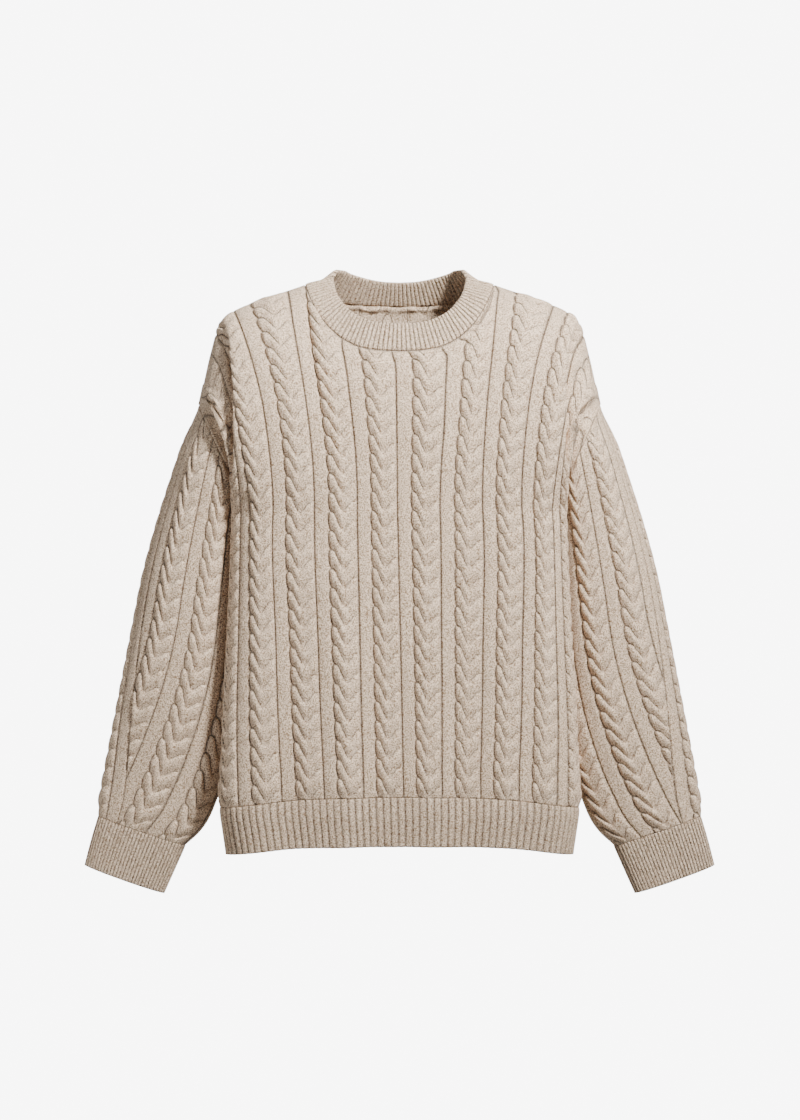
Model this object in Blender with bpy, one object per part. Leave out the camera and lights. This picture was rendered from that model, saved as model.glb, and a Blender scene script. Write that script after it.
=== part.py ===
# A crew-neck cable knit sweater, filled out as if worn, and hollow.
# Metres. +X is the wearer's left, -Y the front, +Z up, and the origin lies between the neck's
# two shoulder points, where the wearer's shoulders carry the garment.
import bpy
import numpy as np

for old in list(bpy.data.objects):
    bpy.data.objects.remove(old, do_unlink=True)

# The knit
HALF_REPEATS = 6.0  # repeats of cable and flat rib from the middle of a panel to its side
PERIOD = 0.021  # length of one cable crossing
WALL = 0.0022  # plain wall, in a groove between cable and rib
RIB_RAISE = 0.0017  # flat rib above the grooves
CABLE_RAISE = 0.0034  # cable above the grooves
CROSSING_DIP = 0.0014  # crossing below the cable's lobes
EDGE_RIB_RAISE = 0.0011  # fine ribs of hem, cuffs and neckband
SEAM = 0.00015  # each piece stops this far from its seam line
HEM_RIB_PITCH = 0.0086
CUFF_RIB_PITCH = 0.0041
NECK_RIB_PITCH = 0.0048
NECK_WALL = 0.0038  # the neckband is folded double
NECK_GAP = 0.00045  # between the neckband and the panels

# Body
BODY_TOP_Z = -0.250  # the body's level sections end here, below the armhole
ARM_STEP = 0.012  # spacing of points beside the armhole
EDGE_STEP = 0.010  # spacing of points along neck and armhole
BESIDE_ARM = 0.30  # length up the side seam from which the body is plain beside the sleeve
NECK_AT = 1.83  # repeats from the middle to the neck's shoulder point
SHOULDER_END = 4.83  # repeats from the middle to the shoulder seam's outer end
BOXINESS = 4.6  # exponent of the body's plan: 2 is an ellipse
ARM_ROOM = 0.0095  # the body's side stays this far inside the sleeve
DRIFT = 0.008  # the front's middle rib drifts this far sideways at the hem


def table(names, rows):
    """Named columns of numbers, from a row for each section."""
    return {name: np.array([row[i] for row in rows], float) for i, name in enumerate(names)}


TORSO = table(
    ("z", "half_width", "front", "back"),
    [
        (-0.645, 0.1870, 0.0860, 0.0800),
        (-0.625, 0.1885, 0.0875, 0.0815),
        (-0.600, 0.1920, 0.0905, 0.0840),
        (-0.575, 0.1950, 0.0935, 0.0865),
        (-0.520, 0.1935, 0.0940, 0.0870),
        (-0.450, 0.1900, 0.0945, 0.0875),
        (-0.380, 0.1860, 0.0950, 0.0880),
        (-0.300, 0.1825, 0.0955, 0.0885),
        (-0.250, 0.1815, 0.0955, 0.0890),
    ],
)
# Soft folds of the body, each a ridge (raise over 0) or a trough along the height.
FRONT_FOLDS = table(
    ("x_top", "x_hem", "spread", "raise_hem"),
    [
        (-0.125, -0.118, 0.020, -0.0050),
        (-0.062, -0.058, 0.020, 0.0065),
        (-0.022, -0.026, 0.014, -0.0025),
        (0.036, 0.033, 0.016, 0.0030),
        (0.078, 0.076, 0.020, -0.0055),
        (0.150, 0.168, 0.020, 0.0040),
    ],
)
BACK_FOLDS = table(
    ("x_top", "x_hem", "spread", "raise_hem"),
    [
        (-0.110, -0.128, 0.022, 0.0055),
        (-0.050, -0.066, 0.018, -0.0050),
        (0.020, 0.012, 0.020, 0.0050),
        (0.085, 0.092, 0.022, -0.0045),
        (0.140, 0.150, 0.018, 0.0035),
    ],
)
# Height of the seam between body and hem rib, from the middle to the side.
HEM_SEAM = table(("s", "z"), [(0.0, -0.5590), (2.5, -0.5620), (4.5, -0.5720), (6.0, -0.5760)])
HEM_END = table(("s", "z"), [(0.0, -0.6125), (2.5, -0.6145), (4.5, -0.6235), (6.0, -0.6265)])
FRONT_NECK = table(
    ("s", "x", "y", "z"),
    [
        (0.00, 0.0000, -0.0830, -0.0800),
        (0.50, 0.0270, -0.0815, -0.0785),
        (1.00, 0.0533, -0.0775, -0.0710),
        (1.30, 0.0705, -0.0700, -0.0590),
        (1.50, 0.0845, -0.0590, -0.0430),
        (1.70, 0.0975, -0.0370, -0.0190),
        (1.83, 0.1040, 0.0000, -0.0020),
    ],
)
BACK_NECK = table(
    ("s", "x", "y", "z"),
    [
        (0.00, 0.0000, 0.0640, -0.0270),
        (0.50, 0.0270, 0.0630, -0.0262),
        (1.00, 0.0545, 0.0580, -0.0240),
        (1.30, 0.0725, 0.0530, -0.0205),
        (1.50, 0.0850, 0.0440, -0.0165),
        (1.70, 0.0970, 0.0270, -0.0095),
        (1.83, 0.1040, 0.0000, -0.0020),
    ],
)
# Free edge of the neckband, above the neck seam at the same repeat.
FRONT_EDGE = table(
    ("s", "x", "y", "z"),
    [
        (0.00, 0.0000, -0.0740, -0.0490),
        (0.50, 0.0205, -0.0725, -0.0480),
        (1.00, 0.0410, -0.0655, -0.0415),
        (1.30, 0.0535, -0.0580, -0.0335),
        (1.50, 0.0615, -0.0470, -0.0240),
        (1.70, 0.0690, -0.0270, -0.0100),
        (1.83, 0.0725, 0.0020, 0.0055),
    ],
)
BACK_EDGE = table(
    ("s", "x", "y", "z"),
    [
        (0.00, 0.0000, 0.0490, 0.0030),
        (0.50, 0.0210, 0.0475, 0.0042),
        (1.00, 0.0420, 0.0420, 0.0080),
        (1.30, 0.0550, 0.0345, 0.0115),
        (1.50, 0.0620, 0.0260, 0.0140),
        (1.70, 0.0685, 0.0135, 0.0140),
        (1.83, 0.0725, 0.0020, 0.0055),
    ],
)
SHOULDER = table(
    ("s", "x", "z"),
    [
        (1.83, 0.1040, -0.0020),
        (2.00, 0.1140, -0.0055),
        (2.50, 0.1450, -0.0160),
        (2.90, 0.1730, -0.0270),
        (3.40, 0.1920, -0.0400),
        (4.00, 0.2050, -0.0690),
        (4.83, 0.2200, -0.1350),
    ],
)
# How a column of knit leaves the underarm's height and how it reaches its top end.
LEAVES = table(
    ("s", "x", "y", "z"),
    [
        (0.00, 0.000, 0.000, 0.190),
        (1.00, 0.000, 0.000, 0.220),
        (1.50, 0.000, -0.010, 0.270),
        (1.83, 0.000, -0.030, 0.270),
        (3.00, 0.010, -0.030, 0.300),
        (3.80, 0.040, -0.060, 0.290),
        (4.40, 0.004, -0.115, 0.270),
        (4.83, 0.015, -0.185, 0.250),
        (5.10, 0.020, -0.192, 0.170),
        (5.40, 0.046, -0.142, 0.080),
        (5.70, 0.010, -0.070, 0.040),
        (6.00, 0.003, 0.000, 0.015),
    ],
)
REACHES = table(
    ("s", "x", "y", "z"),
    [
        (0.00, 0.000, 0.050, 0.160),
        (1.00, 0.000, 0.080, 0.155),
        (1.34, 0.005, 0.095, 0.140),
        (1.50, 0.010, 0.115, 0.135),
        (1.66, 0.010, 0.145, 0.125),
        (1.75, 0.010, 0.195, 0.100),
        (1.83, 0.010, 0.260, 0.070),
        (3.00, 0.010, 0.280, 0.000),
        (3.80, 0.005, 0.250, -0.010),
        (4.40, 0.005, 0.240, -0.020),
        (4.83, 0.020, 0.220, -0.080),
        (5.10, 0.040, 0.060, -0.060),
        (5.40, 0.064, 0.010, -0.010),
        (5.70, 0.035, 0.000, 0.010),
        (6.00, 0.009, 0.000, 0.012),
    ],
)
# Sleeve sections from the armhole (0) to the cuff's seam (1), seen from the front.
SLEEVE = table(
    ("share", "outer_x", "outer_z", "inner_x", "inner_z", "half_depth"),
    [
        (0.00, 0.2200, -0.1350, 0.1720, -0.2350, 0.0610),
        (0.08, 0.2340, -0.1740, 0.1725, -0.2640, 0.0590),
        (0.17, 0.2475, -0.2140, 0.1730, -0.2960, 0.0555),
        (0.28, 0.2635, -0.2640, 0.1735, -0.3360, 0.0530),
        (0.40, 0.2785, -0.3190, 0.1745, -0.3800, 0.0505),
        (0.52, 0.2895, -0.3730, 0.1765, -0.4250, 0.0470),
        (0.64, 0.3000, -0.4270, 0.1810, -0.4720, 0.0420),
        (0.76, 0.3105, -0.4810, 0.1890, -0.5200, 0.0350),
        (0.88, 0.3210, -0.5350, 0.2010, -0.5640, 0.0270),
        (0.95, 0.3270, -0.5665, 0.2160, -0.5960, 0.0230),
        (1.00, 0.3305, -0.5860, 0.2360, -0.6180, 0.0205),
    ],
)
CUFF = table(
    ("share", "outer_x", "outer_z", "inner_x", "inner_z", "half_depth"),
    [
        (0.0, 0.3305, -0.5860, 0.2360, -0.6180, 0.0205),
        (0.5, 0.3385, -0.6130, 0.2480, -0.6450, 0.0200),
        (1.0, 0.3455, -0.6400, 0.2595, -0.6705, 0.0195),
    ],
)
OVAL = 2.2  # exponent of the sleeve's section
SLEEVE_EDGE = 0.67  # repeats from the sleeve's outer line to the line along which it is narrowed
SLEEVE_REST = table(("up", "repeats"), [(0.0, 1.87), (0.255, 3.15), (0.60, 3.15)])


def unit(vectors):
    return vectors / np.maximum(np.linalg.norm(vectors, axis=-1, keepdims=True), 1e-12)


def smooth(at, knots, values):
    """A smooth curve through the values of a table, which never swings past them."""
    slope = np.gradient(values, knots)
    step = np.diff(values) / np.diff(knots)
    least = 2.5 * np.minimum(np.abs(step[1:]), np.abs(step[:-1])) * (step[1:] * step[:-1] > 0)
    slope[1:-1] = np.clip(slope[1:-1], -least, least)
    at = np.clip(np.asarray(at, float), knots[0], knots[-1])
    i = np.clip(np.searchsorted(knots, at) - 1, 0, len(knots) - 2)
    gap = knots[i + 1] - knots[i]
    u = (at - knots[i]) / gap
    low = values[i] * (1 + 2 * u) * (1 - u) ** 2 + gap * slope[i] * u * (1 - u) ** 2
    high = values[i + 1] * u * u * (3 - 2 * u) + gap * slope[i + 1] * u * u * (u - 1)
    return low + high


def read(rows, key, name, at):
    return smooth(at, rows[key], rows[name])


# From the armhole's plane into the sleeve.
FIRST = {name: SLEEVE[name][0] for name in SLEEVE}
ARM_ACROSS = np.array([FIRST["outer_x"] - FIRST["inner_x"], 0, FIRST["outer_z"] - FIRST["inner_z"]])
ARM_AXIS = unit(np.cross(ARM_ACROSS, np.array([0.0, -1.0, 0.0])))
ARM_AXIS = ARM_AXIS * np.sign(ARM_AXIS[0])


def sleeve_inner(y, z):
    """The sleeve's side that faces the body, at depth y and height z."""
    order = np.argsort(SLEEVE["inner_z"])
    inner = smooth(z, SLEEVE["inner_z"][order], SLEEVE["inner_x"][order])
    depth = smooth(z, SLEEVE["inner_z"][order], SLEEVE["half_depth"][order])
    middle = inner + 0.055
    inside = np.clip(1 - (y / (depth + 0.004)) ** 2, 0, 1)
    return np.where(np.abs(y) < depth + 0.004, middle - 0.055 * np.sqrt(inside), 1.0)


def torso_ring(z, side, s):
    """Points of the body at height z for the repeats s, side -1 for the front and 1 for the back."""
    alpha = np.linspace(0, np.pi / 2, 361)
    half_width = read(TORSO, "z", "half_width", z)
    depth = read(TORSO, "z", "front" if side < 0 else "back", z)
    x = half_width * np.sin(alpha) ** (2 / BOXINESS)
    y = side * depth * np.cos(alpha) ** (2 / BOXINESS)
    limit = sleeve_inner(y, z) - ARM_ROOM * np.clip(0.6 + (BODY_TOP_Z - z) / 0.05, 0, 1)
    blend = 0.006
    x = x - blend * np.logaddexp(0, (x - limit) / blend) * (limit < 0.9)
    x = x * np.clip(alpha / 0.02, 0, 1)
    steps = np.hypot(np.diff(x), np.diff(y))
    length = np.concatenate([[0], np.cumsum(steps)])
    low = np.clip((BODY_TOP_Z - z) / 0.34, 0, 1)
    drift = DRIFT * low * (1 - (s / HALF_REPEATS) ** 2) * (side < 0)
    at = np.clip(np.abs(s / HALF_REPEATS * length[-1] + drift), 0, length[-1])
    turn = np.sign(s / HALF_REPEATS * length[-1] + drift)
    px = np.interp(at, length, x) * turn
    py = np.interp(at, length, y)
    folds = FRONT_FOLDS if side < 0 else BACK_FOLDS
    grow = np.clip((-0.12 - z) / 0.42, 0, 1) ** 1.3
    middle = folds["x_top"] + (folds["x_hem"] - folds["x_top"]) * low
    bump = folds["raise_hem"] * np.exp(-(((px[:, None] - middle) / folds["spread"]) ** 2))
    flat = np.clip(np.abs(py) / depth, 0, 1) ** 2
    py = py + side * bump.sum(axis=1) * grow * flat
    return np.stack([px, py, np.full_like(px, z)], axis=1)


def ring_point(section, angle):
    """A sleeve or cuff section as an oval, from its outer line to the line that faces the body."""
    outer = np.array([section["outer_x"], 0, section["outer_z"]])
    inner = np.array([section["inner_x"], 0, section["inner_z"]])
    middle = (outer + inner) / 2
    reach = (outer - inner) / 2
    c = np.sign(np.cos(angle)) * np.abs(np.cos(angle)) ** (2 / OVAL)
    d = np.abs(np.sin(angle)) ** (2 / OVAL)
    depth = np.array([0, -section["half_depth"], 0])
    return middle + c[:, None] * reach + d[:, None] * depth


def along(points, length, at):
    return np.stack([np.interp(at, length, points[:, k]) for k in range(3)], axis=-1)


def half_ring(rows, share, parts):
    """The front half of a section from its outer line (0) to its inner line (1), evenly spaced."""
    section = {name: float(read(rows, "share", name, share)) for name in rows}
    points = ring_point(section, np.linspace(0, np.pi, 241))
    length = np.concatenate([[0], np.cumsum(np.linalg.norm(np.diff(points, axis=0), axis=1))])
    return along(points, length / length[-1], parts)


def armhole(part, side):
    """Points of the armhole and the outward directions within its plane, on the wearer's left."""
    part = np.atleast_1d(np.asarray(part, float))
    point = half_ring(SLEEVE, 0.0, part)
    ahead = half_ring(SLEEVE, 0.0, np.minimum(part + 0.01, 1.0))
    behind = half_ring(SLEEVE, 0.0, np.maximum(part - 0.01, 0.0))
    flip = np.array([1, 1 if side < 0 else -1, 1])
    tangent = unit(ahead - behind)
    tangent[part < 0.0101] = (0, -1, 0)
    tangent[part > 0.9899] = (0, 1, 0)
    normal = unit(np.cross(tangent, ARM_AXIS))
    return point * flip, normal * flip


def top_of(s, side):
    """The end of each column: on the neckline, the shoulder seam or the armhole."""
    a = np.abs(s)
    neck = FRONT_NECK if side < 0 else BACK_NECK
    on_neck = a < NECK_AT
    x = np.where(on_neck, read(neck, "s", "x", a), read(SHOULDER, "s", "x", a))
    y = np.where(on_neck, read(neck, "s", "y", a), 0.0)
    z = np.where(on_neck, read(neck, "s", "z", a), read(SHOULDER, "s", "z", a))
    end = np.stack([x, y, z], axis=1)
    part = (a - SHOULDER_END) / (HALF_REPEATS - SHOULDER_END)
    arm = armhole(np.clip(part, 0, 1), side)[0]
    end = np.where((part >= 0)[:, None], arm, end)
    return end * np.stack([np.where(s < 0, -1.0, 1.0), np.ones_like(a), np.ones_like(a)], axis=1)


LOW_ROWS = 44  # sections worked out below the armhole
HIGH_ROWS = 40  # and above it


def columns_of(s, side):
    """Dense points up each column from below the hem, and their lengths from the hem rib's seam."""
    s = np.asarray(s, float)
    heights = np.linspace(TORSO["z"][0], BODY_TOP_Z, LOW_ROWS)
    low = np.stack([torso_ring(z, side, s) for z in heights])
    start = low[-1]
    end = top_of(s, side)
    a = np.abs(s)
    sign = np.where(s < 0, -1.0, 1.0)
    leave = np.stack([read(LEAVES, "s", k, a) for k in "xyz"], axis=1)
    reach = np.stack([read(REACHES, "s", k, a) for k in "xyz"], axis=1)
    for tangent in (leave, reach):
        tangent[:, 0] *= sign
        tangent[:, 1] *= -side
    u = np.linspace(0, 1, HIGH_ROWS + 1)[1:, None, None]
    high = start * (1 + 2 * u) * (1 - u) ** 2 + leave * u * (1 - u) ** 2
    high = high + end * u * u * (3 - 2 * u) + reach * u * u * (u - 1)
    points = np.concatenate([low, high])
    steps = np.linalg.norm(np.diff(points, axis=0), axis=2)
    length = np.concatenate([np.zeros((1, len(s))), np.cumsum(steps, axis=0)])
    seam = read(HEM_SEAM, "s", "z", a)
    for k in range(len(s)):
        length[:, k] -= np.interp(seam[k], points[:LOW_ROWS, k, 2], length[:LOW_ROWS, k])
    return points, length


class Panel:
    """Front or back: points and outward normals of the plain outer face at repeat s, length t."""

    def __init__(self, side):
        self.side = side
        self.kept = {}

    def column(self, s):
        key = round(float(s), 5)
        if key not in self.kept:
            around = np.clip([key - 0.03, key, key + 0.03], -HALF_REPEATS, HALF_REPEATS)
            points, length = columns_of(around, self.side)
            self.kept[key] = (points, length)
        return self.kept[key]

    def top(self, s):
        return self.column(s)[1][-1, 1]

    def place(self, s, t):
        points, length = self.column(s)
        here = along(points[:, 1], length[:, 1], t)
        left = along(points[:, 0], length[:, 0], min(t, length[-1, 0]))
        right = along(points[:, 2], length[:, 2], min(t, length[-1, 2]))
        up = along(points[:, 1], length[:, 1], t + 0.004) - along(points[:, 1], length[:, 1], t - 0.004)
        return here, unit(np.cross(right - left, up) * -self.side)


FRONT = Panel(-1)
BACK = Panel(1)
PARTS = np.linspace(0, 1, 121)
SHARES = np.linspace(0, 1, 81)


def sleeve_net():
    """Points of the left sleeve's front half, by share of its length and part of the half round."""
    return np.stack([half_ring(SLEEVE, share, PARTS) for share in SHARES])


def cuff_net():
    return np.stack([half_ring(CUFF, share, PARTS) for share in SHARES])


class Tube:
    """A sleeve or cuff: points and normals by part round (-1 to 1, 0 outside) and length up."""

    def __init__(self, net):
        self.net = net
        steps = np.linalg.norm(np.diff(net, axis=0), axis=2)
        self.length = steps.sum(axis=0)

    def raw(self, part, up):
        part = (part + 1) % 2 - 1
        half = np.abs(part) * (len(PARTS) - 1)
        i = np.clip(half.astype(int), 0, len(PARTS) - 2)
        u = (half - i)[..., None]
        total = self.length[i] * (1 - u[..., 0]) + self.length[i + 1] * u[..., 0]
        row = (1 - np.clip(up / total, 0, 1)) * (len(SHARES) - 1)
        j = np.clip(row.astype(int), 0, len(SHARES) - 2)
        v = (row - j)[..., None]
        low = self.net[j, i] * (1 - u) + self.net[j, i + 1] * u
        high = self.net[j + 1, i] * (1 - u) + self.net[j + 1, i + 1] * u
        point = low * (1 - v) + high * v
        point[..., 1] *= np.where(part < 0, -1, 1)
        return point

    def total(self, part):
        return np.interp(np.abs((part + 1) % 2 - 1), PARTS, self.length)

    def place(self, part, up):
        part = np.atleast_1d(np.asarray(part, float))
        up = np.atleast_1d(np.asarray(up, float))
        point = self.raw(part, up)
        top = self.total(part)
        around = self.raw(part + 0.012, up) - self.raw(part - 0.012, up)
        above = np.minimum(up + 0.003, top)
        below = np.maximum(above - 0.006, 0)
        along_it = self.raw(part, above) - self.raw(part, below)
        normal = unit(np.cross(along_it, around))
        return point, normal


SLEEVE_TUBE = Tube(sleeve_net())
CUFF_TUBE = Tube(cuff_net())


class Net:
    """Gathers points and triangles of one closed solid."""

    def __init__(self):
        self.points = []
        self.faces = []

    def add(self, point):
        self.points.append(tuple(float(c) for c in point))
        return len(self.points) - 1

    def strip(self, left, right, turn=False, last=None):
        """Fills the strip between two lines of (place, point) pairs, each sorted by place.

        last, "left" or "right", is the side that takes the strip's last step.
        """
        i = j = 0
        while i < len(left) - 1 or j < len(right) - 1:
            if j == len(right) - 1 or (last == "right" and j == len(right) - 2 and i < len(left) - 1):
                step_left = True
            elif i == len(left) - 1 or (last == "left" and i == len(left) - 2):
                step_left = False
            else:
                step_left = left[i + 1][0] + left[i][0] <= right[j + 1][0] + right[j][0]
            if step_left:
                face = (left[i][1], right[j][1], left[i + 1][1])
                i += 1
            else:
                face = (left[i][1], right[j][1], right[j + 1][1])
                j += 1
            if len(set(face)) == 3:
                self.faces.append(face[::-1] if turn else face)


# One repeat of the knit: place in the repeat, raise, points for each cable crossing.
KNIT = table(
    ("place", "raise", "rate"),
    [
        (-0.17, 0.0, 0.25),
        (-0.12, RIB_RAISE, 0.25),
        (0.12, RIB_RAISE, 0.25),
        (0.17, 0.0, 0.25),
        (0.34, CABLE_RAISE, 2.0),
        (0.66, CABLE_RAISE * 0.9, 0.5),
    ],
)


def knit_columns(first, last):
    """(place, raise, rate) of every column between two repeats, and the plain edges."""
    rows = []
    for repeat in range(int(first) - 1, int(last) + 2):
        for place, lift, rate in zip(KNIT["place"], KNIT["raise"], KNIT["rate"]):
            rows.append((repeat + place, lift, rate))
    return [row for row in rows if first + 0.05 < row[0] < last - 0.05]


def rows_up(rate, top, bends=()):
    """Lengths at which a column has points; each bend gives a length and the spacing from there."""
    step = PERIOD / rate
    at = []
    t = step if rate < 1.5 else PERIOD * 0.25
    while t < top - 0.45 * step:
        at.append(t)
        for start, spacing in bends:
            step = min(step, spacing) if t > start else step
        t += step
    return at


def panel_rows(s, rate, top):
    """Lengths at which a panel's column has points: closer over the shoulder and by the neck."""
    if abs(s) > BESIDE_FROM:
        return rows_beside(top)
    by_neck = [(top - 0.075, PERIOD / 2)] if 1.3 < abs(s) < 2.0 else []
    by_arm = [(0.28, PERIOD)] if abs(s) > 3.9 else [(0.30, 2 * PERIOD)]
    return rows_up(rate, top, by_arm + [(0.40, PERIOD)] + by_neck)


def near(value, start, end):
    return float(np.clip((value - start) / (end - start), 0, 1))


def rim(net, outer, inner, turn):
    """Fills a ribbed end between its outer line, groove and ridge in turn, and its inner line."""
    net.strip(outer[::2], inner, turn)
    for (_, groove), (_, ridge), (_, beyond) in zip(outer[::2], outer[1::2], outer[2::2]):
        net.faces.append((ridge, beyond, groove) if turn else (groove, beyond, ridge))


def close_wall(net, outer, inner, raised_seam, around=None):
    """Joins the columns of an outer and an inner face, and their ends, into one closed wall."""
    if around:
        outer = outer + [(outer[0][0] + around, outer[0][1])]
        inner = inner + [(inner[0][0] + around, inner[0][1])]
    for a, b in zip(outer, outer[1:]):
        net.strip(a[1], b[1])
    for a, b in zip(inner, inner[1:]):
        net.strip(a[1], b[1], True)
    for end in (0, -1):
        line_out = [(s, line[end][1]) for s, line in outer]
        line_in = [(s, line[end][1]) for s, line in inner]
        if raised_seam or end == -1:
            rim(net, line_out, line_in, end == -1)
        else:
            net.strip(line_out, line_in)
    if not around:
        net.strip(inner[0][1], outer[0][1])
        net.strip(outer[-1][1], inner[-1][1])


def seam_frame(panel, s, t):
    """Point and normal of a panel, with the normal shared with its neighbour at a seam."""
    point, normal = panel.place(s, t)
    a = abs(s)
    top = panel.top(s)
    level = np.array([1.0, 0.0, 1.0])
    mirror = np.array([np.sign(s) or 1.0, 1.0, 1.0])
    if t > top - 0.001 and a > SHOULDER_END:
        part = (a - SHOULDER_END) / (HALF_REPEATS - SHOULDER_END)
        point, normal = (row[0] * mirror for row in armhole(part, panel.side))
        point = point - ARM_AXIS * mirror * SEAM
        if a > HALF_REPEATS - 0.01:
            point = point + np.array([0, panel.side * SEAM, 0])
    elif t > top - 0.001 and abs(a - NECK_AT) < 0.001:
        normal = np.array([0.0, 0.0, 1.0])
    elif a > HALF_REPEATS - 0.01 or (t > top - 0.001 and a >= NECK_AT):
        normal = unit(normal * level)
    return point, normal


def join_columns(net, panel, columns, lift, turn):
    """Fills the strips between a panel's columns, its top edge rounded by points between them."""
    edge = [(columns[0][0], columns[0][1][-1][1])]
    for (s, line), (beyond, next_line) in zip(columns, columns[1:]):
        ends = [np.array(net.points[row[-1][1]]) for row in (line, next_line)]
        near_it, far = sorted((abs(s), abs(beyond)))
        curved = far <= NECK_AT + 0.001 or near_it >= SHOULDER_END - 0.001
        count = int(np.linalg.norm(ends[1] - ends[0]) / EDGE_STEP) if curved else 0
        places = np.linspace(s, beyond, count + 2)[1:-1]
        tops = np.linspace(line[-1][0], next_line[-1][0], count + 2)[1:-1]
        between = []
        for place, t in zip(places, tops):
            point, normal = seam_frame(panel, place, panel.top(place) - SEAM)
            between.append((t, net.add(point + normal * lift)))
        rising = line[-1][0] <= next_line[-1][0]
        left = line + between if rising else line
        right = next_line if rising else next_line + between[::-1]
        net.strip(left, right, turn, ("right" if rising else "left") if between else None)
        edge += [(place, index) for place, (t, index) in zip(places, between)]
        edge.append((beyond, next_line[-1][1]))
    return edge


# The knit's columns beside the sleeve, the same on a panel's outer and inner face.
BESIDE = table(
    ("place", "raise"),
    [
        (4.66, CABLE_RAISE * 0.9),
        (4.83, 0.0),
        (5.00, RIB_RAISE),
        (5.17, 0.0),
        (5.34, CABLE_RAISE),
        (5.50, CABLE_RAISE),
        (5.66, CABLE_RAISE * 0.9),
        (5.83, 0.0),
    ],
)
BESIDE_FROM = 4.6


def rows_beside(top):
    """Lengths at which the columns beside the sleeve have points."""
    rows = list(np.arange(1, 7) * 2 * PERIOD)
    while rows[-1] < top - 1.45 * ARM_STEP:
        rows.append(rows[-1] + ARM_STEP)
    return rows


def both_sides(places):
    return [-s for s in places[::-1]] + list(places)


def outer_rows(s_edge):
    """(place, raise, rate) of the columns of a panel's outer face; rate 0 beside the sleeve."""
    rows = [row for row in knit_columns(-HALF_REPEATS, HALF_REPEATS) if abs(row[0]) < BESIDE_FROM]
    for place, lift in zip(BESIDE["place"], BESIDE["raise"]):
        rows += [(-place, lift, 0.0), (place, lift, 0.0)]
    return sorted(rows + [(-s_edge, 0.0, 0.0), (s_edge, 0.0, 0.0)])


def inner_places(edge):
    """Columns of a panel's plain inner face: fewer, but for the neck's and the sleeves' sides."""
    right = [0.5, 1.0, 1.34, 1.5, 1.66, 1.83, 2.17, 2.5, 3.0, 3.5, 4.0, 4.34]
    right += list(BESIDE["place"]) + [edge]
    return sorted(both_sides(right) + [0.0])


def panel_solid(panel):
    net = Net()
    s_edge = HALF_REPEATS - SEAM / 0.044
    outer = []
    inner = []
    for s, lift, rate in outer_rows(s_edge):
        top = panel.top(s)
        line = []
        for k, t in enumerate([SEAM] + panel_rows(s, rate, top) + [top - SEAM]):
            point, normal = seam_frame(panel, s, t)
            raised = lift - (CROSSING_DIP if rate > 1.5 and k % 2 == 0 else 0.0)
            fade = near(t, 0.0, 0.006) * near(top - t, 0.0, 0.008)
            fade *= max(near(4.9 - abs(s), 0.0, 0.6), near(BESIDE_ARM - t, 0.0, 0.05))
            line.append((t, net.add(point + normal * raised * fade)))
        outer.append((s, line))
    for s in inner_places(s_edge):
        top = panel.top(s)
        line = []
        for t in [SEAM] + panel_rows(s, 0.5, top) + [top - SEAM]:
            point, normal = seam_frame(panel, s, t)
            line.append((t, net.add(point - normal * WALL)))
        inner.append((s, line))
    top_out = join_columns(net, panel, outer, 0.0, False)
    top_in = join_columns(net, panel, inner, -WALL, True)
    net.strip(top_out, top_in, True)
    low_out = [(s, line[0][1]) for s, line in outer]
    low_in = [(s, line[0][1]) for s, line in inner]
    net.strip(low_out, low_in)
    net.strip(inner[0][1], outer[0][1])
    net.strip(outer[-1][1], inner[-1][1])
    return net, low_out, low_in, top_out, top_in


# Sleeve columns: beside the outer line by distance from it, the rest by distance from the underarm.
OUTER_PLACES = table(
    ("place", "raise", "rate"),
    [(0.0, CABLE_RAISE, 1.0), (0.18, CABLE_RAISE, 2.0), (0.33, 0.0, 0.5)]
    + [(0.38, RIB_RAISE, 0.34), (0.62, RIB_RAISE, 0.34)],
)
REST_PLACES = [row for row in knit_columns(0.0, 3.12) if row[0] > 0.1]
REST_TOP = float(SLEEVE_REST["repeats"][-1])
SLEEVE_INNER = (0.0, 0.06, 0.15, 0.3, 0.45, 0.6, 0.74, 0.85, 0.94, 1.0)


def rest_at(up):
    return float(read(SLEEVE_REST, "up", "repeats", up))


def born_at(place):
    """Length up the sleeve at which a column leaves the narrowing line."""
    ups = np.linspace(0, 0.255, 400)
    rests = read(SLEEVE_REST, "up", "repeats", ups)
    return 0.0 if place < rests[0] else float(np.interp(place, rests, ups))


def sleeve_frame(part, sign, up):
    """Point and normal of the sleeve at a part of its half round, with its seams' own normals."""
    top = float(SLEEVE_TUBE.total(part))
    point, normal = SLEEVE_TUBE.place(part * sign, min(max(up, SEAM), top - SEAM))
    point, normal = point[0], normal[0]
    if up >= top - 0.0005:
        point, normal = (row[0] for row in armhole(part, -sign))
        point = point + ARM_AXIS * SEAM
    elif part > 0.999:
        normal = unit(normal * np.array([1, 0, 1]))
    return point, normal


def sleeve_point(net, part, sign, up, lift):
    """One point of the sleeve's outer face, moved out by lift but for its seams."""
    point, normal = sleeve_frame(part, sign, up)
    top = float(SLEEVE_TUBE.total(part))
    fade = near(up, 0.0, 0.006) * near(top - up, 0.0, 0.008)
    fade *= max(near(1 - part, 0.0, 0.25), near(top - up, 0.05, 0.09))
    return net.add(point + normal * lift * fade)


def sleeve_rows(rate, top, part):
    """Lengths up the sleeve at which a column has points, closer at the bend above the cuff."""
    rows = rows_up(rate, top)
    if part > 0.5 and rate < 1.0:
        rows = [PERIOD * k for k in range(1, 7)] + [t for t in rows if t > PERIOD * 6.8]
    return rows


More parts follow.
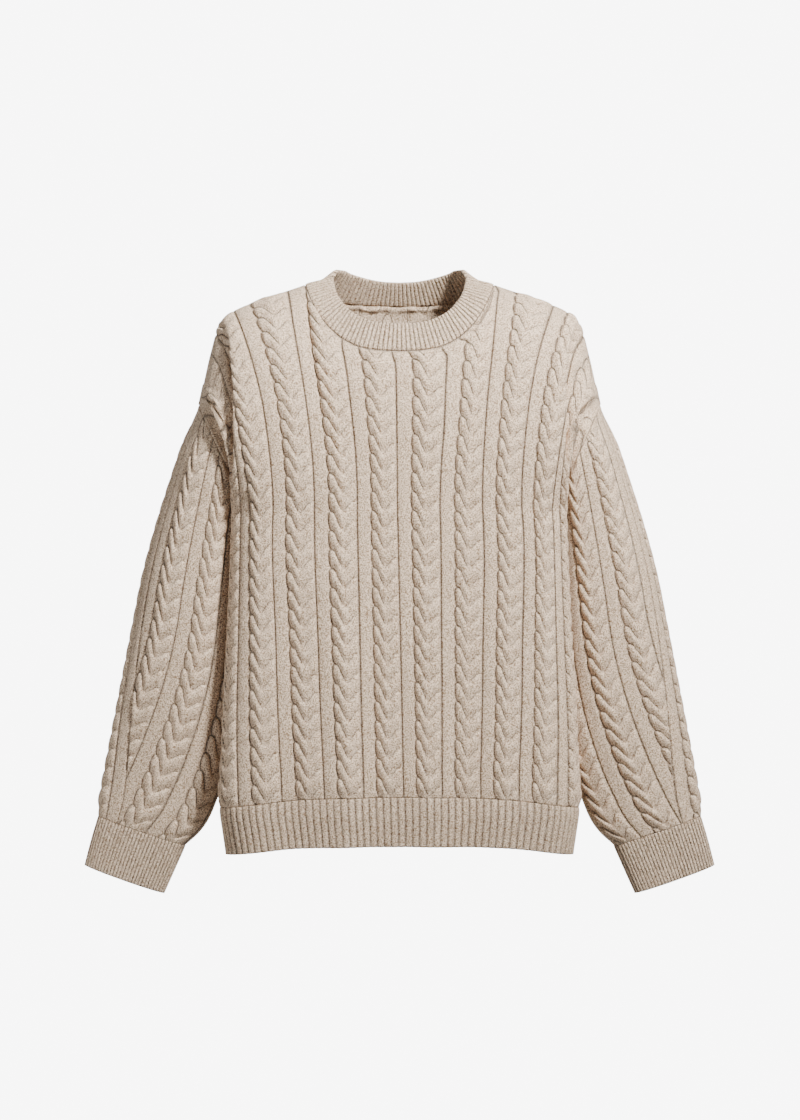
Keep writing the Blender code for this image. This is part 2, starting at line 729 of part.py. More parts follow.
def sleeve_column(net, sign, part_of, lift, rate, start):
    top = float(SLEEVE_TUBE.total(part_of(0.5)))
    rows = [t for t in sleeve_rows(rate, top, part_of(0.1)) if t > start + 0.004]
    line = []
    for k, t in enumerate([start] + rows + [top]):
        raised = lift - (CROSSING_DIP if rate > 1.5 and k % 2 == 0 else 0.0)
        line.append((t, sleeve_point(net, part_of(t), sign, t, raised)))
    return line


def beside_part(place):
    return lambda up: place / (SLEEVE_EDGE + rest_at(up))


def rest_part(place):
    return lambda up: 1 - place / (SLEEVE_EDGE + rest_at(up))


def sleeve_half(net, sign, middle, seam):
    """The sleeve's front (sign 1) or back (-1), between its outer line and its underarm seam."""
    turn = sign < 0
    lines = [(beside_part(0.0), middle)]
    for place, lift, rate in zip(*(OUTER_PLACES[name] for name in ("place", "raise", "rate"))):
        if place > 0:
            part_of = beside_part(place)
            lines.append((part_of, sleeve_column(net, sign, part_of, lift, rate, 0.0)))
    births = [born_at(row[0]) for row in REST_PLACES]
    part_of = beside_part(SLEEVE_EDGE)
    top = float(SLEEVE_TUBE.total(part_of(0.5)))
    marks = sorted({0.0, *births})
    marks += list(np.arange(marks[-1] + 0.042, top - 0.02, 0.042)) + [top]
    edge = [(t, sleeve_point(net, part_of(t), sign, t, 0.0)) for t in marks]
    lines.append((part_of, edge))
    for a, b in zip(lines, lines[1:]):
        net.strip(a[1], b[1], turn)
    rest = [(rest_part(0.0), 0.0, seam)]
    for (place, lift, rate), start in zip(REST_PLACES, births):
        part_of = rest_part(place)
        line = sleeve_column(net, sign, part_of, lift, rate, start)
        if start > 0:
            line[0] = (start, dict(edge)[start])
        rest.append((part_of, start, line))
    for here, beyond in zip(rest, rest[1:] + [None]):
        if beyond is None:
            neighbour = [pair for pair in edge if pair[0] >= here[1]]
        elif beyond[1] == 0:
            neighbour = beyond[2]
        else:
            neighbour = [pair for pair in edge if here[1] <= pair[0] <= beyond[1]] + beyond[2][1:]
        net.strip(neighbour, here[2], turn)
    low = [(of(0.0) * sign, line[0][1]) for of, line in lines[1:]]
    low += [(of(0.0) * sign, line[0][1]) for of, start, line in rest[1:] if start == 0]
    high = [(of(0.5) * sign, line[-1][1]) for of, line in lines[1:]]
    high += [(of(0.5) * sign, line[-1][1]) for of, start, line in rest[1:]]
    return low, high


def sleeve_solid():
    net = Net()
    top = float(SLEEVE_TUBE.total(1.0))
    rows = [0.0] + rows_up(1.0, top) + [top]
    seam = [(t, sleeve_point(net, 1.0, 1, t, 0.0)) for t in rows]
    middle = sleeve_column(net, 1, beside_part(0.0), CABLE_RAISE, 1.0, 0.0)
    low = [(-1.0, seam[0][1]), (0.0, middle[0][1]), (1.0, seam[0][1])]
    high = [(-1.0, seam[-1][1]), (0.0, middle[-1][1]), (1.0, seam[-1][1])]
    for sign in (1, -1):
        found = sleeve_half(net, sign, middle, seam)
        low += found[0]
        high += found[1]
    inner = []
    for part in sorted({*SLEEVE_INNER, *(-p for p in SLEEVE_INNER[1:-1])}):
        top = float(SLEEVE_TUBE.total(part))
        line = []
        for t in [0.0] + sleeve_rows(0.5, top, abs(part)) + [top]:
            point, normal = sleeve_frame(abs(part), 1 if part >= 0 else -1, t)
            line.append((t, net.add(point - normal * WALL)))
        inner.append((part, line))
    inner = [(-1.0, inner[-1][1])] + inner
    for a, b in zip(inner, inner[1:]):
        net.strip(a[1], b[1], True)
    for end, outline in ((0, sorted(low)), (-1, sorted(high))):
        net.strip(outline, [(part, line[end][1]) for part, line in inner], end == -1)
    low_in = [(part, line[0][1]) for part, line in inner]
    return net, sorted(low), low_in


def fine_ribs(line, pitch, stops):
    """Even spots for groove and ridge along a seam's line of points, a groove at each stop."""
    length = np.concatenate([[0], np.cumsum(np.linalg.norm(np.diff(line, axis=0), axis=1))])
    ends = [0.0] + [length[k] for k in stops] + [length[-1]]
    spots = [np.array([0.0])]
    for start, end in zip(ends, ends[1:]):
        count = 2 * int(round((end - start) / pitch))
        spots.append(np.linspace(start, end, count + 1)[1:])
    return length, np.concatenate(spots)


def band(net, seam_out, seam_in, lower, sizes, ring, raised_seam=True, stop=np.inf):
    """A ribbed band from a seam's two edge lines to its far edge, worked out by lower(place)."""
    rib_raise, pitch, wall = (sizes[name] for name in ("rib_raise", "pitch", "wall"))
    places = np.array([place for place, point in seam_out])
    line = np.array([point for place, point in seam_out])
    stops = [k for k, place in enumerate(places) if abs(place - stop) < 1e-6]
    length, spots = fine_ribs(line, pitch, stops)
    last = len(spots) - 1 if ring else len(spots)
    outer = []
    for k in range(last):
        place = float(np.interp(spots[k], length, places))
        start = along(line, length, spots[k])
        edge = not ring and k in (0, last - 1)
        ridge = 0.0 if k % 2 == 0 or edge else rib_raise
        rows = []
        for share in (0.0, 1.0) if raised_seam or not ridge else (0.0, 0.12, 1.0):
            point, normal = lower(place, share, start)
            rows.append((share, net.add(point + normal * ridge * (share > 0 or raised_seam))))
        outer.append((place, rows))
    inner = []
    for place, start in seam_in[: -1 if ring else None]:
        rows = []
        for share in (0.0, 1.0):
            point, normal = lower(place, share, start)
            rows.append((share, net.add(point - normal * wall * (share > 0))))
        inner.append((place, rows))
    around = places[-1] - places[0] if ring else None
    close_wall(net, outer, inner, raised_seam, around)
    return net


def hem_band(panel, low_out, low_in, net):
    """The hem rib below a panel, from the panel's own low edge."""
    seam_out = [(s, np.array(net.points[index])) for s, index in low_out]
    seam_in = [(s, np.array(net.points[index])) for s, index in low_in]

    def lower(s, share, start):
        drop = read(HEM_SEAM, "s", "z", abs(s)) - read(HEM_END, "s", "z", abs(s))
        point, normal = seam_frame(panel, s, -float(drop) * share)
        if share == 0.0:
            point = start - np.array([0, 0, 2 * SEAM])
        return point, normal

    sizes = {"rib_raise": EDGE_RIB_RAISE, "pitch": HEM_RIB_PITCH, "wall": WALL}
    return band(Net(), seam_out, seam_in, lower, sizes, False)


def cuff_band(low_out, low_in, net):
    """The cuff below the left sleeve, from the sleeve's own low edge."""
    seam_out = [(part, np.array(net.points[index])) for part, index in low_out]
    seam_in = [(part, np.array(net.points[index])) for part, index in low_in]
    down = unit(CUFF_TUBE.net[-1, 60] - CUFF_TUBE.net[0, 60])

    def lower(part, share, start):
        total = float(CUFF_TUBE.total(part))
        point, normal = CUFF_TUBE.place(part, (1 - share) * total)
        point, normal = point[0], normal[0]
        if share == 0.0:
            point = start + down * 2 * SEAM
        return point, normal

    sizes = {"rib_raise": EDGE_RIB_RAISE, "pitch": CUFF_RIB_PITCH, "wall": WALL}
    return band(Net(), seam_out, seam_in, lower, sizes, True)


def neck_edge(u):
    """The neckband's free edge at place u: repeats of the front, then of the back, round the neck."""
    u = (u + NECK_AT) % (4 * NECK_AT) - NECK_AT
    s = u if u <= NECK_AT else 2 * NECK_AT - u
    rows = FRONT_EDGE if u <= NECK_AT else BACK_EDGE
    spot = np.array([float(read(rows, "s", k, abs(s))) for k in "xyz"])
    return spot * np.array([np.sign(s), 1, 1])


def neck_seam(u):
    """Point and shared normal on the neck seam at place u."""
    u = (u + NECK_AT) % (4 * NECK_AT) - NECK_AT
    front = u <= NECK_AT
    s = u if front else 2 * NECK_AT - u
    panel = FRONT if front else BACK
    return seam_frame(panel, s, panel.top(s))


def neck_ring(front, back):
    """Places round the neck and points there, from the top edges of the two panels."""
    ring = []
    for (net, edge), turned in ((front, False), (back, True)):
        rows = [(s, np.array(net.points[index])) for s, index in edge if abs(s) < NECK_AT + 0.001]
        if turned:
            rows = [(2 * NECK_AT - s, point) for s, point in rows[::-1][1:-1]]
        ring += rows
    return ring + [(3 * NECK_AT, ring[0][1])]


def neck_band(outer_ring, inner_ring):
    def lower(u, share, start):
        edge = neck_edge(u)
        seam = neck_seam(u)[0]
        around = neck_edge(u + 0.03) - neck_edge(u - 0.03)
        rise = unit(edge - seam)
        outward = unit(np.cross(around, rise))
        if share == 0.0:
            return start + rise * NECK_GAP, outward
        return seam + (edge - seam) * share, outward

    sizes = {"rib_raise": EDGE_RIB_RAISE, "pitch": NECK_RIB_PITCH, "wall": NECK_WALL}
    return band(Net(), outer_ring, inner_ring, lower, sizes, True, False, NECK_AT)


def finish(net, name, colour, mirror=False):
    """Makes the object of a closed wall, its faces turned outward."""
    points = np.array(net.points)
    faces = np.array(net.faces)
    if mirror:
        points = points * np.array([-1, 1, 1])
    corner = points[faces]
    volume = np.einsum("ij,ij->i", corner[:, 0], np.cross(corner[:, 1], corner[:, 2])).sum() / 6
    if volume < 0:
        faces = faces[:, ::-1]
    mesh = bpy.data.meshes.new(name)
    mesh.from_pydata(points.tolist(), [], faces.tolist())
    mesh.update()
    shape = bpy.data.objects.new(name, mesh)
    GARMENT.objects.link(shape)
    look = bpy.data.materials.new(name + "_knit")
    look.use_nodes = True
    shader = look.node_tree.nodes["Principled BSDF"]
    shader.inputs["Base Color"].default_value = (*colour, 1.0)
    shader.inputs["Roughness"].default_value = 0.92
    mesh.materials.append(look)
    print(name, len(faces), "triangles", round(abs(float(volume)) * 1e6, 1), "cm3")


GARMENT = bpy.data.collections.new("cable_knit_sweater")
bpy.context.scene.collection.children.link(GARMENT)
YARN = (0.60, 0.54, 0.47)

tops = []
for panel, side in ((FRONT, "front"), (BACK, "back")):
    wall, low_out, low_in, top_out, top_in = panel_solid(panel)
    finish(wall, side + "_panel", YARN)
    finish(hem_band(panel, low_out, low_in, wall), "hem_rib_" + side, YARN)
    tops.append(((wall, top_out), (wall, top_in)))
outer_ring, inner_ring = (neck_ring(front, back) for front, back in zip(*tops))
finish(neck_band(outer_ring, inner_ring), "neckband", YARN)
wall, low_out, low_in = sleeve_solid()
cuff = cuff_band(low_out, low_in, wall)
for side, mirror in (("left", False), ("right", True)):
    finish(wall, "sleeve_" + side, YARN, mirror)
    finish(cuff, "cuff_" + side, YARN, mirror)
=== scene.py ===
import bmesh
import bpy
import numpy as np
from mathutils import Matrix, Vector


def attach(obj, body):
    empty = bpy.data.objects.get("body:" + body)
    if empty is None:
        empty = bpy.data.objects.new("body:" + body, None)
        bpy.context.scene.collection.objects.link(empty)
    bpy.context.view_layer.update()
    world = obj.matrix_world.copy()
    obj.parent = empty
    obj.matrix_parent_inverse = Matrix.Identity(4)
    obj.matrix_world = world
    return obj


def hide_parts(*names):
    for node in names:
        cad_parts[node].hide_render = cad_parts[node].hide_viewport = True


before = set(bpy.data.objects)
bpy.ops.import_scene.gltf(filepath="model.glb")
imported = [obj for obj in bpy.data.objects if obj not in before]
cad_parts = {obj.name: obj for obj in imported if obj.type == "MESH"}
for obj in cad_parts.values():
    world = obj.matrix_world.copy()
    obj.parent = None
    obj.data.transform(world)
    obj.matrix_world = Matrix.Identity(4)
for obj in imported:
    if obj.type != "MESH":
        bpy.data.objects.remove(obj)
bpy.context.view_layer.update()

# Body, in metres
halfRepeats = 6.0  # repeats of cable and flat rib from a panel's middle to its side
repeatWidth = 0.044  # one cable and one flat rib
period = 0.0204  # one cable crossing
stitchTall = 0.0026
wall = 0.0022
ribRaise = 0.0019
cableRaise = 0.0046
cableHalf = 0.33  # half a cable's width, in repeats
ribHalf = 0.17  # half a flat rib's width and its groove, in repeats
seamGap = 0.00015  # from a piece's edge to its seam line
sideTurn = 0.15  # repeats in which a panel's faces turn to meet at the side seam
topTurn = 0.010  # length in which they turn to meet at the top seam
bodyTop = -0.250  # level sections end here
neckAt = 1.83  # repeats to the neck's shoulder point
shoulderEnd = 4.83  # repeats to the shoulder seam's outer end
boxiness = 4.6  # of the body's level sections
armRoom = 0.0095  # between the body and a sleeve
armReach = 0.055  # from a sleeve's inner line to its middle
drift = 0.008  # of the front's middle at the hem
oval = 2.2  # of the sleeves' sections
sleeveEdge = 0.67  # repeats from the sleeve's outer line to its narrowing line


def table(names, rows):
    return {name: np.array([row[i] for row in rows], float) for i, name in enumerate(names)}


torso = table(
    ("z", "halfWidth", "front", "back"),
    [
        (-0.645, 0.1870, 0.0860, 0.0800),
        (-0.625, 0.1885, 0.0875, 0.0815),
        (-0.600, 0.1920, 0.0905, 0.0840),
        (-0.575, 0.1950, 0.0935, 0.0865),
        (-0.520, 0.1935, 0.0940, 0.0870),
        (-0.450, 0.1900, 0.0945, 0.0875),
        (-0.380, 0.1860, 0.0950, 0.0880),
        (-0.300, 0.1825, 0.0955, 0.0885),
        (-0.250, 0.1815, 0.0955, 0.0890),
    ],
)
frontFolds = table(
    ("xTop", "xHem", "spread", "raiseHem"),
    [
        (-0.125, -0.118, 0.020, -0.0050),
        (-0.062, -0.058, 0.020, 0.0065),
        (-0.022, -0.026, 0.014, -0.0025),
        (0.036, 0.033, 0.016, 0.0030),
        (0.078, 0.076, 0.020, -0.0055),
        (0.150, 0.168, 0.020, 0.0040),
    ],
)
backFolds = table(
    ("xTop", "xHem", "spread", "raiseHem"),
    [
        (-0.110, -0.128, 0.022, 0.0055),
        (-0.050, -0.066, 0.018, -0.0050),
        (0.020, 0.012, 0.020, 0.0050),
        (0.085, 0.092, 0.022, -0.0045),
        (0.140, 0.150, 0.018, 0.0035),
    ],
)
hemSeam = table(("s", "z"), [(0.0, -0.5590), (2.5, -0.5620), (4.5, -0.5720), (6.0, -0.5760)])
hemEnd = table(("s", "z"), [(0.0, -0.6125), (2.5, -0.6145), (4.5, -0.6235), (6.0, -0.6265)])
frontNeck = table(
    ("s", "x", "y", "z"),
    [
        (0.00, 0.0000, -0.0830, -0.0800),
        (0.50, 0.0270, -0.0815, -0.0785),
        (1.00, 0.0533, -0.0775, -0.0710),
        (1.30, 0.0705, -0.0700, -0.0590),
        (1.50, 0.0845, -0.0590, -0.0430),
        (1.70, 0.0975, -0.0370, -0.0190),
        (1.83, 0.1040, 0.0000, -0.0020),
    ],
)
backNeck = table(
    ("s", "x", "y", "z"),
    [
        (0.00, 0.0000, 0.0640, -0.0200),
        (0.50, 0.0270, 0.0630, -0.0195),
        (1.00, 0.0545, 0.0580, -0.0180),
        (1.30, 0.0725, 0.0530, -0.0155),
        (1.50, 0.0850, 0.0440, -0.0130),
        (1.70, 0.0970, 0.0270, -0.0080),
        (1.83, 0.1040, 0.0000, -0.0020),
    ],
)
frontEdge = table(
    ("s", "x", "y", "z"),
    [
        (0.00, 0.0000, -0.0740, -0.0490),
        (0.50, 0.0205, -0.0725, -0.0480),
        (1.00, 0.0410, -0.0655, -0.0415),
        (1.30, 0.0535, -0.0580, -0.0335),
        (1.50, 0.0615, -0.0470, -0.0240),
        (1.70, 0.0690, -0.0270, -0.0100),
        (1.83, 0.0725, 0.0020, 0.0055),
    ],
)
backEdge = table(
    ("s", "x", "y", "z"),
    [
        (0.00, 0.0000, 0.0490, 0.0055),
        (0.50, 0.0210, 0.0475, 0.0067),
        (1.00, 0.0420, 0.0420, 0.0108),
        (1.30, 0.0550, 0.0345, 0.0145),
        (1.50, 0.0620, 0.0260, 0.0172),
        (1.70, 0.0685, 0.0135, 0.0166),
        (1.83, 0.0725, 0.0020, 0.0055),
    ],
)
shoulder = table(
    ("s", "x", "z"),
    [
        (1.83, 0.1040, -0.0020),
        (2.00, 0.1140, -0.0055),
        (2.50, 0.1450, -0.0160),
        (2.90, 0.1730, -0.0270),
        (3.40, 0.1920, -0.0400),
        (4.00, 0.2050, -0.0690),
        (4.83, 0.2200, -0.1350),
    ],
)
# Slope of a column of knit where it leaves the underarm's height and at its top end
leaves = table(
    ("s", "x", "y", "z"),
    [
        (0.00, 0.000, 0.000, 0.190),
        (1.00, 0.000, 0.000, 0.220),
        (1.50, 0.000, -0.010, 0.270),
        (1.83, 0.000, -0.030, 0.270),
        (3.00, 0.010, -0.030, 0.300),
        (3.80, 0.040, -0.060, 0.290),
        (4.40, 0.004, -0.115, 0.270),
        (4.83, 0.015, -0.185, 0.250),
        (5.10, 0.020, -0.192, 0.170),
        (5.40, 0.046, -0.142, 0.080),
        (5.70, 0.010, -0.070, 0.040),
        (6.00, 0.003, 0.000, 0.015),
    ],
)
reaches = table(
    ("s", "x", "y", "z"),
    [
        (0.00, 0.000, 0.050, 0.160),
        (1.00, 0.000, 0.080, 0.155),
        (1.34, 0.005, 0.095, 0.140),
        (1.50, 0.010, 0.115, 0.135),
        (1.66, 0.010, 0.145, 0.125),
        (1.75, 0.010, 0.195, 0.100),
        (1.83, 0.010, 0.260, 0.070),
        (3.00, 0.010, 0.280, 0.000),
        (3.80, 0.005, 0.250, -0.010),
        (4.40, 0.005, 0.240, -0.020),
        (4.83, 0.020, 0.220, -0.080),
        (5.10, 0.040, 0.060, -0.060),
        (5.40, 0.064, 0.010, -0.010),
        (5.70, 0.035, 0.000, 0.010),
        (6.00, 0.009, 0.000, 0.012),
    ],
)
# Sections of sleeve and cuff, from the armhole down
sleeve = table(
    ("share", "outerX", "outerZ", "innerX", "innerZ", "halfDepth"),
    [
        (0.00, 0.2200, -0.1350, 0.1720, -0.2350, 0.0610),
        (0.08, 0.2340, -0.1740, 0.1725, -0.2640, 0.0590),
        (0.17, 0.2475, -0.2140, 0.1730, -0.2960, 0.0555),
        (0.28, 0.2635, -0.2640, 0.1735, -0.3360, 0.0530),
        (0.40, 0.2785, -0.3190, 0.1745, -0.3800, 0.0505),
        (0.52, 0.2895, -0.3730, 0.1765, -0.4250, 0.0470),
        (0.64, 0.3000, -0.4270, 0.1810, -0.4720, 0.0420),
        (0.76, 0.3105, -0.4810, 0.1890, -0.5200, 0.0350),
        (0.88, 0.3210, -0.5350, 0.2010, -0.5640, 0.0270),
        (0.95, 0.3270, -0.5665, 0.2160, -0.5960, 0.0230),
        (1.00, 0.3305, -0.5860, 0.2360, -0.6180, 0.0205),
    ],
)
cuff = table(
    ("share", "outerX", "outerZ", "innerX", "innerZ", "halfDepth"),
    [
        (0.0, 0.3305, -0.5860, 0.2360, -0.6180, 0.0205),
        (0.5, 0.3385, -0.6130, 0.2480, -0.6450, 0.0200),
        (1.0, 0.3455, -0.6400, 0.2595, -0.6705, 0.0195),
    ],
)
sleeveRest = table(("up", "repeats"), [(0.0, 1.87), (0.255, 3.15), (0.60, 3.15)])
# How far the front's ribs stand off their even places, in repeats, at a length up from the hem
ribShift = table(
    ("t", "right3", "right2", "right1", "middle", "left1", "left2", "left3"),
    [
        (0.03, 0.14, 0.17, 0.10, 0.09, 0.03, 0.00, -0.04),
        (0.16, 0.02, 0.08, 0.09, 0.10, 0.12, 0.15, 0.14),
        (0.29, -0.12, -0.01, 0.08, 0.10, 0.20, 0.30, 0.31),
        (0.37, -0.03, -0.01, 0.10, 0.09, 0.20, 0.25, 0.19),
        (0.45, 0.08, -0.03, 0.08, 0.08, 0.12, 0.18, 0.02),
        (0.50, 0.09, -0.04, -0.02, 0.07, 0.12, 0.14, -0.03),
        (0.56, 0.07, -0.01, 0.00, 0.07, 0.10, 0.07, -0.02),
    ],
)
shiftNames = ("right3", "right2", "right1", "middle", "left1", "left2", "left3")


def unit(vectors):
    return vectors / np.maximum(np.linalg.norm(vectors, axis=-1, keepdims=True), 1e-12)


def smooth(at, knots, values):
    slope = np.gradient(values, knots)
    step = np.diff(values) / np.diff(knots)
    least = 2.5 * np.minimum(np.abs(step[1:]), np.abs(step[:-1])) * (step[1:] * step[:-1] > 0)
    slope[1:-1] = np.clip(slope[1:-1], -least, least)
    at = np.clip(np.asarray(at, float), knots[0], knots[-1])
    i = np.clip(np.searchsorted(knots, at) - 1, 0, len(knots) - 2)
    gap = knots[i + 1] - knots[i]
    u = (at - knots[i]) / gap
    low = values[i] * (1 + 2 * u) * (1 - u) ** 2 + gap * slope[i] * u * (1 - u) ** 2
    high = values[i + 1] * u * u * (3 - 2 * u) + gap * slope[i + 1] * u * u * (u - 1)
    return low + high


def read(rows, key, name, at):
    return smooth(at, rows[key], rows[name])


def ease(value, start, end):
    u = np.clip((value - start) / (end - start), 0, 1)
    return u * u * (3 - 2 * u)


def hill(value, middle, spread):
    return np.exp(-(((value - middle) / spread) ** 2))


# From the armhole's plane into the sleeve
armWide = sleeve["outerX"][0] - sleeve["innerX"][0]
armHigh = sleeve["outerZ"][0] - sleeve["innerZ"][0]
armAcross = np.array([armWide, 0, armHigh])
armAxis = unit(np.cross(armAcross, np.array([0.0, -1.0, 0.0])))
armAxis = armAxis * np.sign(armAxis[0])


def sleeveInner(y, z):
    order = np.argsort(sleeve["innerZ"])
    inner = smooth(z, sleeve["innerZ"][order], sleeve["innerX"][order])
    depth = smooth(z, sleeve["innerZ"][order], sleeve["halfDepth"][order])
    halfOpen = depth + 0.004
    inside = np.clip(1 - (y / halfOpen) ** 2, 0, 1)
    return np.where(np.abs(y) < halfOpen, inner + armReach - armReach * np.sqrt(inside), 1.0)


def torsoRing(z, side, s):  # side -1 is the front
    alpha = np.linspace(0, np.pi / 2, 721)
    halfWidth = read(torso, "z", "halfWidth", z)
    depth = read(torso, "z", "front" if side < 0 else "back", z)
    x = halfWidth * np.sin(alpha) ** (2 / boxiness)
    y = side * depth * np.cos(alpha) ** (2 / boxiness)
    limit = sleeveInner(y, z) - armRoom * np.clip(0.6 + (bodyTop - z) / 0.05, 0, 1)
    blend = 0.006
    x = x - blend * np.logaddexp(0, (x - limit) / blend) * (limit < 0.9)
    x = x * np.clip(alpha / 0.02, 0, 1)
    length = np.concatenate([[0], np.cumsum(np.hypot(np.diff(x), np.diff(y)))])
    low = np.clip((bodyTop - z) / 0.34, 0, 1)
    moved = drift * low * (1 - (s / halfRepeats) ** 2) * (side < 0)
    at = np.clip(np.abs(s / halfRepeats * length[-1] + moved), 0, length[-1])
    turn = np.sign(s / halfRepeats * length[-1] + moved)
    px = np.interp(at, length, x) * turn
    py = np.interp(at, length, y)
    folds = frontFolds if side < 0 else backFolds
    grow = np.clip((-0.12 - z) / 0.42, 0, 1) ** 1.3
    middle = folds["xTop"] + (folds["xHem"] - folds["xTop"]) * low
    bump = folds["raiseHem"] * np.exp(-(((px[:, None] - middle) / folds["spread"]) ** 2))
    flat = np.clip(np.abs(py) / depth, 0, 1) ** 2
    py = py + side * bump.sum(axis=1) * grow * flat
    return np.stack([px, py, np.full_like(px, z)], axis=1)


def halfRing(rows, share, parts):  # from the outer line (0) to the line facing the body (1)
    section = {name: float(read(rows, "share", name, share)) for name in rows}
    angle = np.linspace(0, np.pi, 361)
    outer = np.array([section["outerX"], 0, section["outerZ"]])
    inner = np.array([section["innerX"], 0, section["innerZ"]])
    c = np.sign(np.cos(angle)) * np.abs(np.cos(angle)) ** (2 / oval)
    d = np.abs(np.sin(angle)) ** (2 / oval)
    points = (outer + inner) / 2 + c[:, None] * (outer - inner) / 2
    points = points + d[:, None] * np.array([0, -section["halfDepth"], 0])
    length = np.concatenate([[0], np.cumsum(np.linalg.norm(np.diff(points, axis=0), axis=1))])
    at = np.asarray(parts) * length[-1]
    return np.stack([np.interp(at, length, points[:, k]) for k in range(3)], axis=-1)


def armhole(part, side):
    point = halfRing(sleeve, 0.0, part)
    ahead = halfRing(sleeve, 0.0, np.minimum(part + 0.01, 1.0))
    behind = halfRing(sleeve, 0.0, np.maximum(part - 0.01, 0.0))
    flip = np.array([1, 1 if side < 0 else -1, 1])
    tangent = unit(ahead - behind)
    tangent[part < 0.0101] = (0, -1, 0)
    tangent[part > 0.9899] = (0, 1, 0)
    return point * flip, unit(np.cross(tangent, armAxis)) * flip


def topOf(s, side):
    a = np.abs(s)
    neck = frontNeck if side < 0 else backNeck
    onNeck = a < neckAt
    x = np.where(onNeck, read(neck, "s", "x", a), read(shoulder, "s", "x", a))
    y = np.where(onNeck, read(neck, "s", "y", a), 0.0)
    z = np.where(onNeck, read(neck, "s", "z", a), read(shoulder, "s", "z", a))
    end = np.stack([x, y, z], axis=1)
    part = (a - shoulderEnd) / (halfRepeats - shoulderEnd)
    arm = armhole(np.clip(part, 0, 1), side)[0]
    end = np.where((part >= 0)[:, None], arm, end)
    return end * np.stack([np.where(s < 0, -1.0, 1.0), np.ones_like(a), np.ones_like(a)], axis=1)


lowRows = 90
highRows = 130


def columnsOf(s, side):  # points up each column and their lengths from the hem's seam
    heights = np.linspace(torso["z"][0], bodyTop, lowRows)
    low = np.stack([torsoRing(z, side, s) for z in heights])
    start = low[-1]
    end = topOf(s, side)
    a = np.abs(s)
    leave = np.stack([read(leaves, "s", k, a) for k in "xyz"], axis=1)
    reach = np.stack([read(reaches, "s", k, a) for k in "xyz"], axis=1)
    for tangent in (leave, reach):
        tangent[:, 0] *= np.where(s < 0, -1.0, 1.0)
        tangent[:, 1] *= -side
    u = np.linspace(0, 1, highRows + 1)[1:, None, None]
    high = start * (1 + 2 * u) * (1 - u) ** 2 + leave * u * (1 - u) ** 2
    high = high + end * u * u * (3 - 2 * u) + reach * u * u * (u - 1)
    points = np.concatenate([low, high])
    steps = np.linalg.norm(np.diff(points, axis=0), axis=2)
    length = np.concatenate([np.zeros((1, len(s))), np.cumsum(steps, axis=0)])
    seam = read(hemSeam, "s", "z", a)
    for k in range(len(s)):
        length[:, k] -= np.interp(seam[k], points[:lowRows, k, 2], length[:lowRows, k])
    return points, length


def resample(points, length, at):  # at holds a length for every row and column
    found = np.empty(at.shape + (3,))
    for k in range(at.shape[1]):
        for axis in range(3):
            found[:, k, axis] = np.interp(at[:, k], length[:, k], points[:, k, axis])
    return found


def normalsOf(points, turn):
    across = np.gradient(points, axis=1)
    along = np.gradient(points, axis=0)
    return unit(np.cross(across, along)) * turn


# One cable has lobes on one side of its middle (across below 0) and is plain on the other.
# From its middle (0) to its edge (1): how far down, in periods, a crossing line passes there
crossing = table(
    ("out", "down"),
    [
        (0.00, 1.00),
        (0.12, 0.86),
        (0.21, 0.72),
        (0.35, 0.50),
        (0.47, 0.28),
        (0.57, 0.11),
        (0.70, 0.03),
        (0.83, 0.00),
        (1.00, -0.03),
    ],
)
slack = 0.5  # part of a crossing's drop that the plain side lacks
notch = 0.20  # depth of the notch between two lobes, of half the cable's width


def lobeEdge(down):
    return 1 - notch + notch * np.sin(np.pi * (down % 1.0) ** 0.62) ** 0.6


def cableRelief(across, down):  # across is -1 to 1, down is in periods
    out = np.abs(across)
    passes = read(crossing, "out", "down", out)
    passes = np.where(across < 0, passes, slack + (1 - slack) * passes)
    phase = (down - passes) % 1.0
    lobes = ease(phase, 0.0, 0.20) - 0.72 * ease(phase, 0.48, 1.0)
    side = lobeEdge(down)
    round_ = np.clip(1 - np.clip(out / side, 0, 1) ** 4, 0, 1) ** 0.6
    left = round_ * (0.40 + 0.66 * lobes)
    right = np.clip(1 - out**5, 0, 1) ** 0.6 * (0.42 + 0.50 * lobes)
    share = ease(across, -0.10, 0.10)
    return cableRaise * (left * (1 - share) + right * share)


def ribRelief(across):  # across is -1 to 1
    return ribRaise * np.clip(1 - np.abs(across) ** 6, 0, 1) ** 0.6


def knitRelief(place, down):  # place is in repeats, and flat ribs have whole numbers
    q = place - np.round(place)
    cable = cableRelief(np.clip(((place % 1.0) - 0.5) / cableHalf, -1, 1), down)
    return np.where(np.abs(q) < ribHalf, ribRelief(q / (ribHalf - 0.005)), cable)


# The outer face's rows going up, then the inner face's coming down, and the first again
def wrapWall(outer, inner, fields, innerFields):
    points = np.concatenate([outer, inner[::-1], outer[:1]])
    values = [np.concatenate([a, b[::-1], a[:1]]) for a, b in zip(fields, innerFields)]
    return points, values


